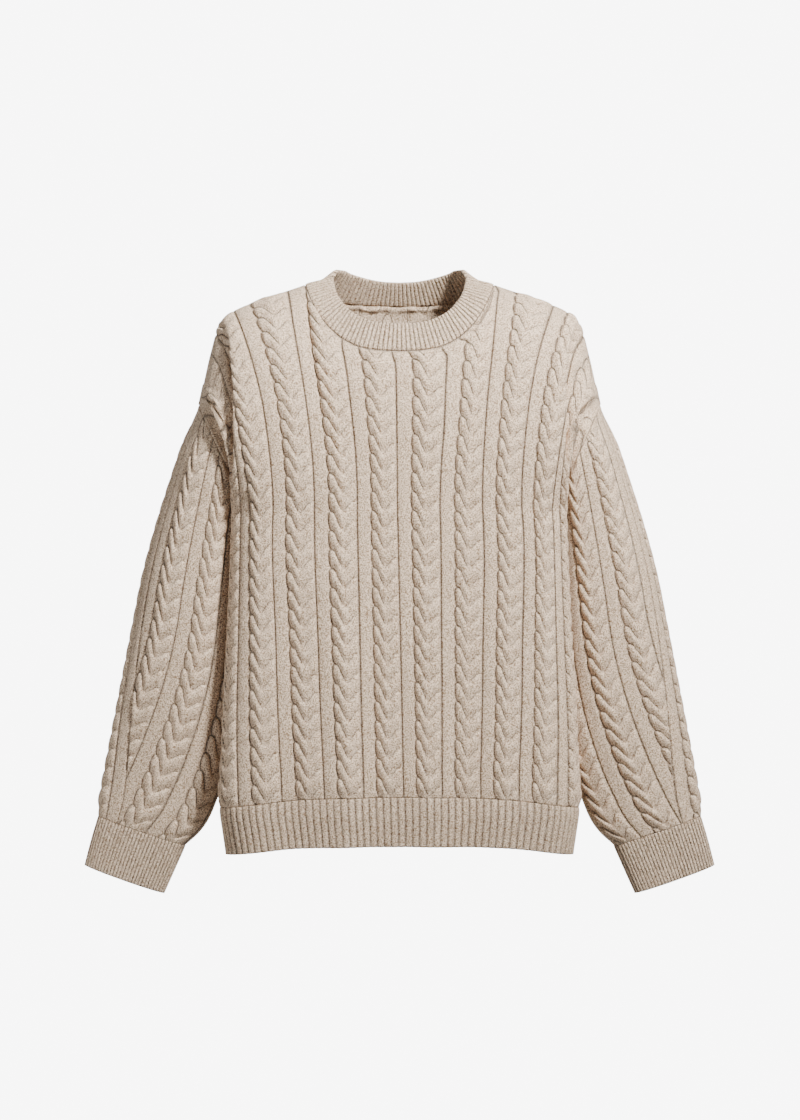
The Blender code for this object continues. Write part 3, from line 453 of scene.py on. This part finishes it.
def knitObject(name, points, values, ring, material):
    rows, cols = points.shape[:2]
    grid = bmesh.new()
    bmesh.ops.create_grid(grid, x_segments=cols - 1, y_segments=rows - 1, size=1.0)
    mesh = bpy.data.meshes.new(name)
    grid.to_mesh(mesh)
    grid.free()
    mesh.vertices.foreach_set("co", points.reshape(-1))
    for key, field in zip(("place", "down", "plain", "seam"), values):
        layer = mesh.attributes.new(key, "FLOAT", "POINT")
        layer.data.foreach_set("value", np.ascontiguousarray(field, dtype=float).ravel())
    grid = bmesh.new()
    grid.from_mesh(mesh)
    edge = [v for v in grid.verts if v.is_boundary]
    bmesh.ops.remove_doubles(grid, verts=edge, dist=1e-6)
    if not ring:
        bmesh.ops.holes_fill(grid, edges=[e for e in grid.edges if e.is_boundary])
    bmesh.ops.recalc_face_normals(grid, faces=grid.faces)
    for face in grid.faces:
        face.smooth = True
    grid.to_mesh(mesh)
    grid.free()
    mesh.materials.append(material)
    piece = bpy.data.objects.new(name, mesh)
    bpy.context.scene.collection.objects.link(piece)
    area = sum(polygon.area for polygon in mesh.polygons) / 2
    print(name, sum(len(p.vertices) - 2 for p in mesh.polygons), "triangles", round(area, 4), "m2")
    return piece


def mirror(piece):
    piece.data.transform(Matrix.Scale(-1, 4, (1, 0, 0)))
    piece.data.flip_normals()


def dress(piece, facts):
    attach(piece, "root")
    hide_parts(facts["node"])


# Yarn: heathered beige, with painted shade. The pieces' place, down and plain tell where a point
# lies in the knit, and plain weakens or removes the painted shade on inner faces
class Nodes:
    def __init__(self, name):
        self.material = bpy.data.materials.new(name)
        self.material.use_nodes = True
        self.tree = self.material.node_tree
        self.shader = self.tree.nodes["Principled BSDF"]

    def add(self, kind, inputs=(), **settings):
        made = self.tree.nodes.new(kind)
        for key, value in settings.items():
            setattr(made, key, value)
        for socket, value in dict(inputs).items():
            self.feed(value, made.inputs[socket])
        return made

    def feed(self, value, socket):
        if isinstance(value, bpy.types.NodeSocket):
            self.tree.links.new(value, socket)
        else:
            socket.default_value = value

    def maths(self, operation, first, second=0.0):
        return self.add("ShaderNodeMath", {0: first, 1: second}, operation=operation).outputs[0]

    def times(self, first, second):
        return self.maths("MULTIPLY", first, second)

    def plus(self, first, second):
        return self.maths("ADD", first, second)

    def less(self, first, second):
        return self.maths("SUBTRACT", first, second)

    def line(self, distance, width):  # 1 on the line, 0 from its width on
        near = self.times(self.maths("ABSOLUTE", distance), 1 / width)
        return self.maths("POWER", self.maths("MAXIMUM", self.less(1.0, near), 0.0), 1.5)

    def ramp(self, value, start, end):
        spots = {"Value": value, "From Min": start, "From Max": end}
        return self.add("ShaderNodeMapRange", spots, interpolation_type="SMOOTHSTEP").outputs[0]

    def read(self, name):
        return self.add("ShaderNodeAttribute", attribute_name=name).outputs["Fac"]


# Painted shade of a cable, the contact shadows along its crossing lines, along its left edge and in
# the groove beside its right edge, and the height of its lobes, from 0 to 1
def cableShadeLines(nodes, place, down):
    across = nodes.times(nodes.less(nodes.maths("FRACT", place), 0.5), 1 / cableHalf)
    out = nodes.maths("ABSOLUTE", across)
    onCable = nodes.maths("LESS_THAN", out, 1.0)
    left = nodes.maths("LESS_THAN", across, 0.0)
    curve = nodes.add("ShaderNodeFloatCurve", {"Value": out})
    points = curve.mapping.curves[0].points
    rows = list(zip(crossing["out"], (crossing["down"] + 0.1) / 1.2))
    points[0].location, points[1].location = rows[0], rows[-1]
    for spot in rows[1:-1]:
        points.new(*spot)
    curve.mapping.update()
    passes = nodes.less(nodes.times(curve.outputs[0], 1.2), 0.1)
    lacks = nodes.times(nodes.less(1.0, left), slack)
    passes = nodes.plus(nodes.times(passes, nodes.less(1.0, lacks)), lacks)
    turn = nodes.less(down, passes)
    phase = nodes.less(nodes.maths("FRACT", nodes.plus(turn, 0.5)), 0.5)
    wave = nodes.maths("FRACT", turn)
    lobes = nodes.less(nodes.ramp(wave, 0.0, 0.13), nodes.times(nodes.ramp(wave, 0.55, 1.0), 0.6))
    lobes = nodes.times(nodes.times(lobes, nodes.ramp(out, 1.0, 0.8)), onCable)
    lobes = nodes.times(lobes, nodes.plus(nodes.times(left, 0.15), 0.85))
    # painted shade: a contact shadow along each crossing line, fading out at the cable's middle and
    # edge
    crossingShade = nodes.times(nodes.line(phase, 0.10), nodes.ramp(out, 0.0, 0.26))
    crossingShade = nodes.times(crossingShade, nodes.ramp(out, 0.90, 0.80))
    # the painted shade is about three times as strong on the cable's left half, whose undercuts turn
    # away from the light
    strength = nodes.plus(nodes.times(left, 0.66), 0.34)
    crossingShade = nodes.times(nodes.times(crossingShade, strength), onCable)
    rise = nodes.maths("POWER", nodes.maths("FRACT", down), 0.62)
    bow = nodes.maths("POWER", nodes.maths("SINE", nodes.times(rise, np.pi)), 0.6)
    side = nodes.plus(nodes.times(bow, notch), 1 - notch)
    # painted shade: a contact shadow along the lobed left edge of the cable
    edgeShade = nodes.times(nodes.line(nodes.less(out, side), 0.085), left)
    # painted shade in the groove beside the cable's right edge
    grooveShade = nodes.line(nodes.less(across, 1.05), 0.095)
    return nodes.maths("MINIMUM", nodes.plus(nodes.plus(crossingShade, edgeShade), grooveShade), 1.0), lobes


def makeYarn(name, lines):
    nodes = Nodes(name)
    shader = nodes.shader
    shader.inputs["Roughness"].default_value = 0.95
    shader.inputs["Specular IOR Level"].default_value = 0.10
    shader.inputs["Sheen Weight"].default_value = 0.12
    shader.inputs["Sheen Roughness"].default_value = 0.6
    shader.inputs["Sheen Tint"].default_value = (0.95, 0.88, 0.80, 1)
    place, down, plain = (nodes.read(key) for key in ("place", "down", "plain"))
    shadeLines, lobes = lines(nodes, place, down)
    # painted shade lines, weakened or left off on inner faces by plain
    shadeAndSeam = nodes.times(shadeLines, nodes.less(1.0, plain))
    # and a line darker along the neck's seam
    shadeAndSeam = nodes.maths("MAXIMUM", shadeAndSeam, nodes.times(nodes.read("seam"), 0.9))

    where = nodes.add("ShaderNodeTexCoord").outputs["Object"]
    noise = []
    for scale, detail in ((820.0, 1.5), (1500.0, 1.0), (230.0, 2.0), (22.0, 2.0)):
        made = nodes.add("ShaderNodeTexNoise", {"Vector": where, "Scale": scale, "Detail": detail})
        noise.append(made.outputs["Fac"])
    grain, fine, fuzz, broad = noise

    # Pale and deep-coloured heather fibres, with painted shade along the cables' crossing lines,
    # edges and grooves, a line darker along the neck's seam, and a painted highlight on the lobes'
    # ridges with painted shade in their hollows
    fibres = nodes.add("ShaderNodeValToRGB", {"Fac": grain})
    stops = fibres.color_ramp.elements
    stops[0].position, stops[0].color = 0.37, (0.30, 0.197, 0.118, 1)
    stops[1].position, stops[1].color = 0.62, (0.93, 0.735, 0.548, 1)
    middle = stops.new(0.49)
    middle.color = (0.64, 0.470, 0.325, 1)
    # painted shade along the lines, times the heather's random variation in colour below
    heatherAndShade = nodes.less(1.0, nodes.times(shadeAndSeam, 0.60))
    heatherAndShade = nodes.times(heatherAndShade, nodes.plus(nodes.times(broad, 0.14), 0.93))
    # painted highlight on the lobes' ridges, painted shade in their hollows
    heatherAndShade = nodes.times(heatherAndShade, nodes.plus(nodes.times(lobes, 0.10), 0.965))
    heatherAndShade = nodes.times(heatherAndShade, nodes.plus(nodes.times(fuzz, 0.30), 0.85))
    mixed = {0: 1.0, 6: fibres.outputs["Color"], 7: heatherAndShade}
    toned = nodes.add("ShaderNodeMix", mixed, data_type="RGBA", blend_type="MULTIPLY")
    nodes.feed(toned.outputs[2], shader.inputs["Base Color"])

    # Fine relief: stitches' grain, the lobes' height, and shallow grooves under the painted shade
    # lines and the seam line
    depth = nodes.less(nodes.times(lobes, 0.8), shadeAndSeam)
    sunk = nodes.add("ShaderNodeBump", {"Height": depth, "Distance": 0.0016})
    rough = nodes.plus(nodes.times(grain, 0.6), nodes.times(fine, 0.4))
    grained = {"Height": rough, "Distance": 0.0016, "Normal": sunk.outputs[0]}
    nodes.feed(nodes.add("ShaderNodeBump", grained).outputs[0], shader.inputs["Normal"])
    return nodes.material


def ribGrooveShade(nodes, place, down):  # a rib has no lobes
    groove = nodes.less(nodes.maths("FRACT", place), 0.5)
    # painted shade in the grooves between the fine ribs
    return nodes.times(nodes.line(groove, 0.26), 0.8), 0.0


cableYarn = makeYarn("cableKnit", cableShadeLines)
ribYarn = makeYarn("ribKnit", ribGrooveShade)
print("yarns made")

# Places of the grid's columns in one repeat, closer beside the grooves
onRib = [-0.17, -0.15, -0.11, 0.0, 0.11, 0.15, 0.17]
onCable = [0.19, 0.215, 0.24, 0.265, 0.29, 0.32, 0.355, 0.39, 0.43, 0.475, 0.53, 0.60, 0.68]
inRepeat = onRib + onCable + [0.75, 0.79, 0.81]


def panelColumns(side):
    places = [(r + q) * -side for r in range(-7, 8) for q in inRepeat]
    places = [s for s in places if abs(s) < halfRepeats - 0.02]
    edge = halfRepeats - seamGap / repeatWidth
    return np.array([-edge] + sorted(places) + [edge])


def shifted(knit, t):  # the even places at which a row's columns of knit stand
    rows = np.stack([read(ribShift, "t", name, t) for name in shiftNames])
    spots = np.array([-4.7, -3, -2, -1, 0, 1, 2, 3, 4.7])
    rows = np.concatenate([rows[:1] * 0, rows, rows[:1] * 0])
    return knit + np.array([np.interp(k, spots, rows[:, i]) for i, k in enumerate(knit)])


def rowsTo(top, level, share):  # lengths from the hem's seam, alike in near columns until the top
    nearTop = share**8
    return seamGap + share * ((1 - nearTop) * level + nearTop * top - 2 * seamGap)


# Line of the crease between the body and the upper arm
creaseLine = table(
    ("z", "x"),
    [(-0.26, 0.181), (-0.202, 0.1835), (-0.118, 0.183), (-0.068, 0.1875), (-0.0385, 0.195)],
)


creaseDepth = 0.0135


def creases(side, plain, normal):  # depth of the creases beside the arms
    x, z = plain[..., 0], plain[..., 2]
    facing = ease(normal[..., 1] * side, 0.1, 0.5)
    line = np.interp(z, creaseLine["z"], creaseLine["x"])
    long = ease(z, -0.245, -0.20) * ease(-z, 0.030, 0.09)
    aside = np.abs(x) - line
    beyond = np.exp(-((np.maximum(aside, 0) / 0.017) ** 1.3))
    depth = creaseDepth * beyond * hill(np.minimum(aside, 0), 0, 0.0030) * long
    # Short slanting folds that run out of the crease, more of them on one side
    rows = ((0.198, -0.105, 0.0032, 1), (0.200, -0.150, 0.0036, 1), (0.194, -0.178, 0.0026, 1))
    if side < 0:
        rows = rows + ((0.196, -0.165, 0.0016, -1), (0.200, -0.125, 0.0014, -1))
    for middle, height, deep, hand in rows:
        across = (x * hand - middle) * 0.72 - (z - height) * 0.69
        along = (x * hand - middle) * 0.69 + (z - height) * 0.72
        depth = depth + deep * hill(across, 0, 0.0045) * hill(along, 0, 0.018) * (x * hand > 0)
    return depth * facing


def meetAtSides(normal, a):  # a is the distance from a panel's middle, in repeats
    nearSide = ease(a, halfRepeats - sideTurn, halfRepeats)[None, :, None]
    return unit(normal * (1 - nearSide * np.array([0, 1, 0])))


def panelPiece(side, facts):
    even = np.linspace(-1, 1, 301) * (halfRepeats - seamGap / repeatWidth)
    points, length = columnsOf(even, side)
    share = np.linspace(0, 1, facts["rows"] + 1)[:, None]
    evenTop = length[-1]
    weights = hill(np.linspace(-2, 2, 61), 0, 1)
    padded = np.pad(evenTop, 30, mode="edge")
    evenLevel = np.convolve(padded, weights / weights.sum(), "valid")
    evenPlain = resample(points, length, rowsTo(evenTop, evenLevel, share))
    s = panelColumns(side)
    top = np.interp(s, even, evenTop)
    plain = np.empty((len(share), len(s), 3))
    t = np.empty((len(share), len(s)))
    for row, k in enumerate(share[:, 0]):
        at = shifted(s, k * top) if side < 0 else s
        at = s + (at - s) * ease((1 - k) * top, 0.0, 0.02)
        for axis in range(3):
            plain[row, :, axis] = np.interp(at, even, evenPlain[row, :, axis])
        t[row] = rowsTo(np.interp(at, even, evenTop), np.interp(at, even, evenLevel), k)
    top = seamGap + t[-1]
    normal = normalsOf(plain, -side)
    a = np.abs(s)
    sides = np.stack([np.sign(s), np.ones_like(s), np.ones_like(s)], axis=1)
    onArm = a > shoulderEnd
    part = np.clip((a - shoulderEnd) / (halfRepeats - shoulderEnd), 0, 1)
    arm = armhole(part, side)[1] * sides
    level = normal[-1] * np.array([1, 0, 1])
    flatTop = np.where((a >= neckAt)[:, None], unit(level), normal[-1])
    flatTop = np.where((np.abs(a - neckAt) < 0.02)[:, None], np.array([0, 0, 1.0]), flatTop)
    edge = np.where(onArm[:, None], arm, flatTop)
    nearTop = ease(t, top - topTurn, top)[..., None]
    normal = meetAtSides(unit(normal * (1 - nearTop) + edge * nearTop), a)
    place = np.broadcast_to(s, t.shape)
    down = -t / period + facts["phase"]
    knit = place * -side
    far = np.abs(place)
    fromSeam = top - t
    # The knit flattens towards its seams, on the outermost cables and beside the neck
    onShoulder = ease(far, neckAt - 0.1, neckAt + 0.3)
    onShoulder = onShoulder * ease(shoulderEnd + 0.1 - far, 0, 0.4)
    outermost = ease(far, 3.9, 4.3)
    fade = ease(t, -0.006, 0.014)
    fade = fade * ease(fromSeam, 0, 0.006 + 0.024 * onShoulder + 0.08 * outermost)
    fade = fade * (1 - 0.65 * outermost * ease(t, 0.34, 0.40))
    beside = np.maximum(ease(5.1 - far, 0, 0.5), ease(0.33 - t, 0, 0.05))
    besideNeck = hill(far, neckAt, 0.25) * ease(t, top - 0.12, top - 0.04)
    lift = knitRelief(knit, down) * fade * beside * (1 - 0.55 * besideNeck)
    ridge = facts["seamRidge"] * hill(fromSeam, 0.0024, 0.0013)
    lift = lift + ridge * (far > shoulderEnd - 0.3)
    deep = creases(side, plain, normal) * ease(fromSeam, 0, 0.025)
    plain = plain - normal * deep[..., None]
    outer = plain + normal * lift[..., None]
    spread = np.linspace(0, len(t) - 1, facts["innerRows"]).round().astype(int)
    pick = np.unique(np.concatenate([spread, np.arange(len(t) - 9, len(t))]))
    spot = place[pick]
    reverse = 0.0012 * hill(spot - np.round(spot), 0, 0.06)
    # The neck's seam allowance is rolled inwards, and waves
    waves = 1 + 0.30 * np.sin(spot * 9.0) + 0.20 * np.sin(spot * 23.0 + 1)
    below = fromSeam[pick] - 0.0010 * np.sin(spot * 11.0 + 2)
    rolled = facts["seamRoll"] * waves * hill(below, 0.0042, 0.0030) * (np.abs(spot) < neckAt)
    inner = plain[pick] - normal[pick] * (wall - reverse + rolled)[..., None]
    seam = hill(fromSeam, 0.0, 0.0016) * (far < neckAt + 0.05)
    fields = (knit, down, np.zeros_like(down), seam)
    innerFields = (knit[pick], down[pick], np.full_like(reverse, 0.5), np.zeros_like(reverse))
    points, values = wrapWall(outer, inner, fields, innerFields)
    piece = knitObject(facts["name"], points, values, False, cableYarn)
    dress(piece, facts)
    return piece


frontPanelFacts = {
    "name": "frontPanel",
    "node": "front_panel",
    "slot": "cable_knit",
    "flat": (0.53, 0.60),
    "area": 0.276,
    "rows": 320,
    "innerRows": 24,
    "phase": 0.08,
    "seamRidge": 0.0016,
    "seamRoll": 0.0024,
}
frontPanel = panelPiece(-1, frontPanelFacts)

backPanelFacts = dict(
    frontPanelFacts, name="backPanel", node="back_panel", flat=(0.52, 0.60), area=0.280
)
backPanel = panelPiece(1, backPanelFacts)


def tubeGrid(rows, part, share):  # rows of points from below, columns round the sleeve or cuff
    net = np.stack([halfRing(rows, 1 - k, np.abs(part)) for k in share])
    net[..., 1] *= np.where(part < 0, -1, 1)
    return net


def lengthsUp(points):
    steps = np.linalg.norm(np.diff(points, axis=0), axis=2)
    return np.concatenate([np.zeros((1, points.shape[1])), np.cumsum(steps, axis=0)])


def evenUp(points, count):
    length = lengthsUp(points)
    at = seamGap + np.linspace(0, 1, count + 1)[:, None] * (length[-1] - 2 * seamGap)
    return resample(points, length, at), at, length[-1]


def sleevePiece(facts):
    part = np.linspace(-1, 1, facts["around"] + 1)
    base = tubeGrid(sleeve, part, np.linspace(0, 1, 161))
    plain, up, top = evenUp(base, facts["rows"])
    normal = normalsOf(plain, 1)
    normal[:, [0, -1]] = unit(normal[:, [0, -1]] * np.array([1, 0, 1]))
    arm = armhole(np.abs(part), -1)[1]
    arm[:, 1] *= np.where(part < 0, -1, 1)
    normal = normal * np.sign((normal[-20] * arm).sum(axis=1).mean())
    nearTop = ease(up, top - topTurn, top)[..., None]
    normal = unit(normal * (1 - nearTop) + arm * nearTop)
    rest = read(sleeveRest, "up", "repeats", up)
    fromOuter = np.abs(part) * (sleeveEdge + rest)
    place = np.where(fromOuter < sleeveEdge, fromOuter, sleeveEdge + rest - fromOuter)
    down = -up / period + facts["phase"]
    hand = facts["hand"] * np.where(part < 0, -1, 1)
    beside = 0.5 - hand * np.interp(fromOuter, [0, 0.345, 0.51, 0.675], [0, 0.33, 0.50, 0.67])
    knit = np.where(fromOuter < sleeveEdge, beside, place * hand)
    lift = knitRelief(knit, down) * (1 - hill(fromOuter, sleeveEdge, 0.02))
    nearOuter = ease(0.55 - np.abs(part), 0, 0.3)
    fade = ease(up, -0.008, 0.020) * ease(top - up, 0, 0.008 + 0.045 * nearOuter)
    hidden = np.maximum(ease(1 - np.abs(part), 0, 0.2), ease(top - up, 0.05, 0.09))
    lift = lift * fade * hidden + facts["seamRidge"] * hill(top - up, 0.0024, 0.0013)
    outer = plain + normal * lift[..., None]
    pick = np.unique(np.linspace(0, len(up) - 1, facts["innerRows"]).round().astype(int))
    inner = plain[pick] - normal[pick] * wall
    none = np.zeros_like(down)
    fields = (knit, down, none, none)
    innerFields = (knit[pick], down[pick], none[pick] + 1, none[pick])
    points, values = wrapWall(outer, inner, fields, innerFields)
    return knitObject(facts["name"], points, values, True, cableYarn)


sleeveLeftFacts = {
    "name": "sleeveLeft",
    "node": "sleeve_left",
    "slot": "cable_knit",
    "flat": (0.37, 0.47),
    "area": 0.137,
    "around": 236,
    "rows": 280,
    "innerRows": 24,
    "phase": 0.3,
    "hand": 1,
    "seamRidge": 0.0008,
}
sleeveLeft = sleevePiece(sleeveLeftFacts)
dress(sleeveLeft, sleeveLeftFacts)

sleeveRightFacts = dict(sleeveLeftFacts, name="sleeveRight", node="sleeve_right", hand=-1)
sleeveRight = sleevePiece(sleeveRightFacts)
mirror(sleeveRight)
dress(sleeveRight, sleeveRightFacts)


def fineRibs(place):  # ribs at whole numbers
    q = np.abs(place - np.round(place)) * 2
    return np.clip(1 - q**2.6, 0, 1) ** 0.7


def roundFrom(line):  # lengths along a row of points
    steps = np.linalg.norm(np.diff(line, axis=0), axis=1)
    return np.concatenate([[0], np.cumsum(steps)])


def bandFrom(plain, normal, facts, ring):  # a ribbed band from rows of points, seamed at its top
    up = lengthsUp(plain)
    distance = roundFrom(plain[-1])
    count = np.round(distance[-1] / facts["pitch"]) if ring else distance[-1] / facts["pitch"]
    place = np.broadcast_to(distance / (distance[-1] / count), up.shape)
    height = fineRibs(place)
    fade = 0.8 + 0.2 * ease(up[-1] - up, 0, 0.004)
    outer = plain + normal * (height * fade * facts["rise"])[..., None]
    pick = np.unique(np.linspace(0, len(plain) - 1, facts["innerRows"]).round().astype(int))
    inner = plain[pick] - normal[pick] * facts["wall"]
    inner = inner + normal[pick] * (0.4 * facts["rise"] * height[pick])[..., None]
    fields = (place, up / stitchTall, np.zeros_like(up))
    points, values = wrapWall(outer, inner, fields, [field[pick] for field in fields])
    return knitObject(facts["name"], points, values, ring, ribYarn)


def hemPiece(side, facts):
    s = np.linspace(-1, 1, facts["columns"] + 1) * (halfRepeats - seamGap / repeatWidth)
    points, length = columnsOf(s, side)
    a = np.abs(s)
    drop = read(hemSeam, "s", "z", a) - read(hemEnd, "s", "z", a)
    t = -seamGap - np.linspace(1, 0, facts["rows"] + 1)[:, None] * (drop - seamGap)
    plain = resample(points, length, t)
    normal = normalsOf(plain, -side)
    piece = bandFrom(plain, meetAtSides(normal, a), facts, False)
    dress(piece, facts)
    return piece


hemFrontFacts = {
    "name": "hemRibFront",
    "node": "hem_rib_front",
    "slot": "rib_knit",
    "flat": (0.53, 0.053),
    "area": 0.0269,
    "columns": 560,
    "rows": 26,
    "innerRows": 8,
    "pitch": 0.0078,
    "rise": 0.0016,
    "wall": wall,
}
hemRibFront = hemPiece(-1, hemFrontFacts)

hemBackFacts = dict(
    hemFrontFacts, name="hemRibBack", node="hem_rib_back", flat=(0.52, 0.053), area=0.0263
)
hemRibBack = hemPiece(1, hemBackFacts)


def cuffPiece(facts):
    part = np.linspace(-1, 1, facts["columns"] + 1)
    base = tubeGrid(cuff, part, np.linspace(0, 1, 41))
    plain = evenUp(base, facts["rows"])[0]
    normal = normalsOf(plain, 1)
    outerLine = facts["columns"] // 2
    outward = plain[:, outerLine] - plain[:, 0]
    normal = normal * np.sign((normal[:, outerLine] * outward).sum())
    normal[:, 0] = normal[:, -1] = unit(normal[:, 0] + normal[:, -1])
    return bandFrom(plain, normal, facts, True)


cuffLeftFacts = {
    "name": "cuffLeft",
    "node": "cuff_left",
    "slot": "rib_knit",
    "flat": (0.235, 0.056),
    "area": 0.0127,
    "columns": 500,
    "rows": 30,
    "innerRows": 8,
    "pitch": 0.0039,
    "rise": 0.0011,
    "wall": wall,
}
cuffLeft = cuffPiece(cuffLeftFacts)
dress(cuffLeft, cuffLeftFacts)

cuffRightFacts = dict(cuffLeftFacts, name="cuffRight", node="cuff_right")
cuffRight = cuffPiece(cuffRightFacts)
mirror(cuffRight)
dress(cuffRight, cuffRightFacts)


def neckLine(u, frontRows, backRows):  # points round the neck: the front's, then the back's
    front = u <= neckAt
    s = np.where(front, u, 2 * neckAt - u)
    a = np.abs(s)
    rows = [np.where(front, read(frontRows, "s", k, a), read(backRows, "s", k, a)) for k in "xyz"]
    line = np.stack(rows, axis=1)
    line[:, 0] *= np.where(s < 0, -1.0, 1.0)
    line[0] = line[-1] = (line[0] + line[-1]) / 2
    return line


def neckLines(u):
    return neckLine(u, frontNeck, backNeck), neckLine(u, frontEdge, backEdge)


def neckPiece(facts):  # columns from the neck seam up to the fold, which is rounded
    u = np.linspace(-neckAt, 3 * neckAt, 2401)
    seam, edge = neckLines(u)
    far = roundFrom(seam * 0.5 + edge * 0.5)
    u = np.interp(np.linspace(0, far[-1], facts["columns"] + 1), far, u)
    seam, edge = neckLines(u)
    seam = seam + unit(edge - seam) * 3 * seamGap
    share = np.linspace(0, 1, facts["rows"] + 1)[:, None, None]
    plain = seam + (edge - seam) * share
    onward = np.roll(edge, -1, axis=0) - np.roll(edge, 1, axis=0)
    onward[0] = onward[-1] = edge[1] - edge[-2]
    outward = unit(np.cross(onward, unit(edge - seam)))
    normal = np.broadcast_to(outward, plain.shape).copy()
    # Ribs stand further apart where the band runs from front to back
    distance = roundFrom((seam * 0.5 + edge * 0.5) * (1, 0.55, 1))
    whole = distance[-1] / np.round(distance[-1] / facts["pitch"])
    up = lengthsUp(plain)
    place = np.broadcast_to(distance / whole, up.shape)
    share = share[..., 0]
    onFold = np.clip((share - facts["foldFrom"]) / (1 - facts["foldFrom"]), 0, 1)
    over = np.sqrt(1 - onFold**2)
    half = facts["wall"] / 2
    middle = plain - normal * half
    lift = fineRibs(place) * facts["rise"] * (0.4 + 0.6 * ease(share, 0, 0.12))
    outer = middle + normal * ((half + lift) * over)[..., None]
    inner = middle - normal * ((half - 0.5 * facts["rise"] + 0.5 * lift) * over)[..., None]
    fields = [place, up / stitchTall, np.zeros_like(up)]
    innerFields = [place, up / stitchTall, np.full_like(up, 0.4)]
    points, values = wrapWall(outer, inner[:-1], fields, [field[:-1] for field in innerFields])
    piece = knitObject(facts["name"], points, values, True, ribYarn)
    dress(piece, facts)
    return piece


neckFacts = {
    "name": "neckBand",
    "node": "neckband",
    "slot": "rib_knit",
    "flat": (0.55, 0.034),
    "area": 0.0181,
    "columns": 700,
    "rows": 24,
    "pitch": 0.0046,
    "rise": 0.0017,
    "wall": 0.0038,
    "foldFrom": 0.86,
}
neckBand = neckPiece(neckFacts)
print("pieces made")


# Studio: a pale sweep, a key light from the upper right, a soft fill and a light behind
paleBrightness = 8.0
sweep = {"halfWidth": 9.0, "front": -6.0, "bendAt": 2.0, "length": 14.0, "radius": 2.5, "low": -1.30}


def shown(tree, strength, socket):  # near white for the camera, weaker as a light
    rays = tree.nodes.new("ShaderNodeLightPath")
    bright = tree.nodes.new("ShaderNodeMapRange")
    bright.inputs["To Min"].default_value = strength
    bright.inputs["To Max"].default_value = paleBrightness
    tree.links.new(rays.outputs["Is Camera Ray"], bright.inputs["Value"])
    tree.links.new(bright.outputs[0], socket)


def makeSweep():
    radius = sweep["radius"]
    grid = bmesh.new()
    bmesh.ops.create_grid(grid, x_segments=2, y_segments=60, size=1.0)
    for vert in grid.verts:
        run = (vert.co.y + 1) / 2 * sweep["length"] + sweep["front"]
        bend = max(0.0, run - sweep["bendAt"])
        turn = min(bend / radius, np.pi / 2)
        rise = radius * (1 - np.cos(turn)) + max(0.0, bend - radius * np.pi / 2)
        back = min(run, sweep["bendAt"]) + radius * np.sin(turn)
        vert.co = (vert.co.x * sweep["halfWidth"], back, sweep["low"] + rise)
    mesh = bpy.data.meshes.new("floor")
    grid.to_mesh(mesh)
    grid.free()
    for polygon in mesh.polygons:
        polygon.use_smooth = True
    floor = bpy.data.objects.new("floor", mesh)
    bpy.context.scene.collection.objects.link(floor)
    paint = bpy.data.materials.new("paleFloor")
    paint.use_nodes = True
    shader = paint.node_tree.nodes["Principled BSDF"]
    shader.inputs["Base Color"].default_value = (0.0, 0.0, 0.0, 1)
    shader.inputs["Roughness"].default_value = 1.0
    shader.inputs["Specular IOR Level"].default_value = 0.0
    shader.inputs["Emission Color"].default_value = (1, 1, 1, 1)
    shown(paint.node_tree, 0.4, shader.inputs["Emission Strength"])
    mesh.materials.append(paint)


makeSweep()


def addLight(name, power, size, place, target, spread):
    lamp = bpy.data.lights.new(name, "AREA")
    lamp.energy = power
    lamp.size = size
    lamp.spread = spread
    holder = bpy.data.objects.new(name, lamp)
    bpy.context.scene.collection.objects.link(holder)
    holder.location = place
    holder.rotation_euler = (Vector(target) - Vector(place)).to_track_quat("-Z", "Y").to_euler()


addLight("keyLight", 33, 0.4, (1.04, -1.58, 1.32), (0.03, 0, 0.05), 1.4)
addLight("fillLight", 13, 1.5, (-2.2, -1.0, -0.1), (-0.1, 0, -0.1), 3.0)
addLight("rearLight", 45, 2.5, (-1.6, 3.2, 0.6), (0, 0, -0.3), 3.0)

world = bpy.data.worlds.new("studio")
world.use_nodes = True
air = world.node_tree.nodes["Background"].inputs
air["Color"].default_value = (1, 1, 1, 1)
shown(world.node_tree, 0.20, air["Strength"])
bpy.context.scene.world = world

camera = bpy.data.cameras.new("camera")
camera.lens = 102.3
camera.sensor_width = 36.0
cameraHolder = bpy.data.objects.new("camera", camera)
cameraHolder.location = (0.0005, -3.5, -0.3047)
cameraHolder.rotation_euler = (np.pi / 2, 0, 0)
bpy.context.scene.collection.objects.link(cameraHolder)
bpy.context.scene.camera = cameraHolder
print("studio made")
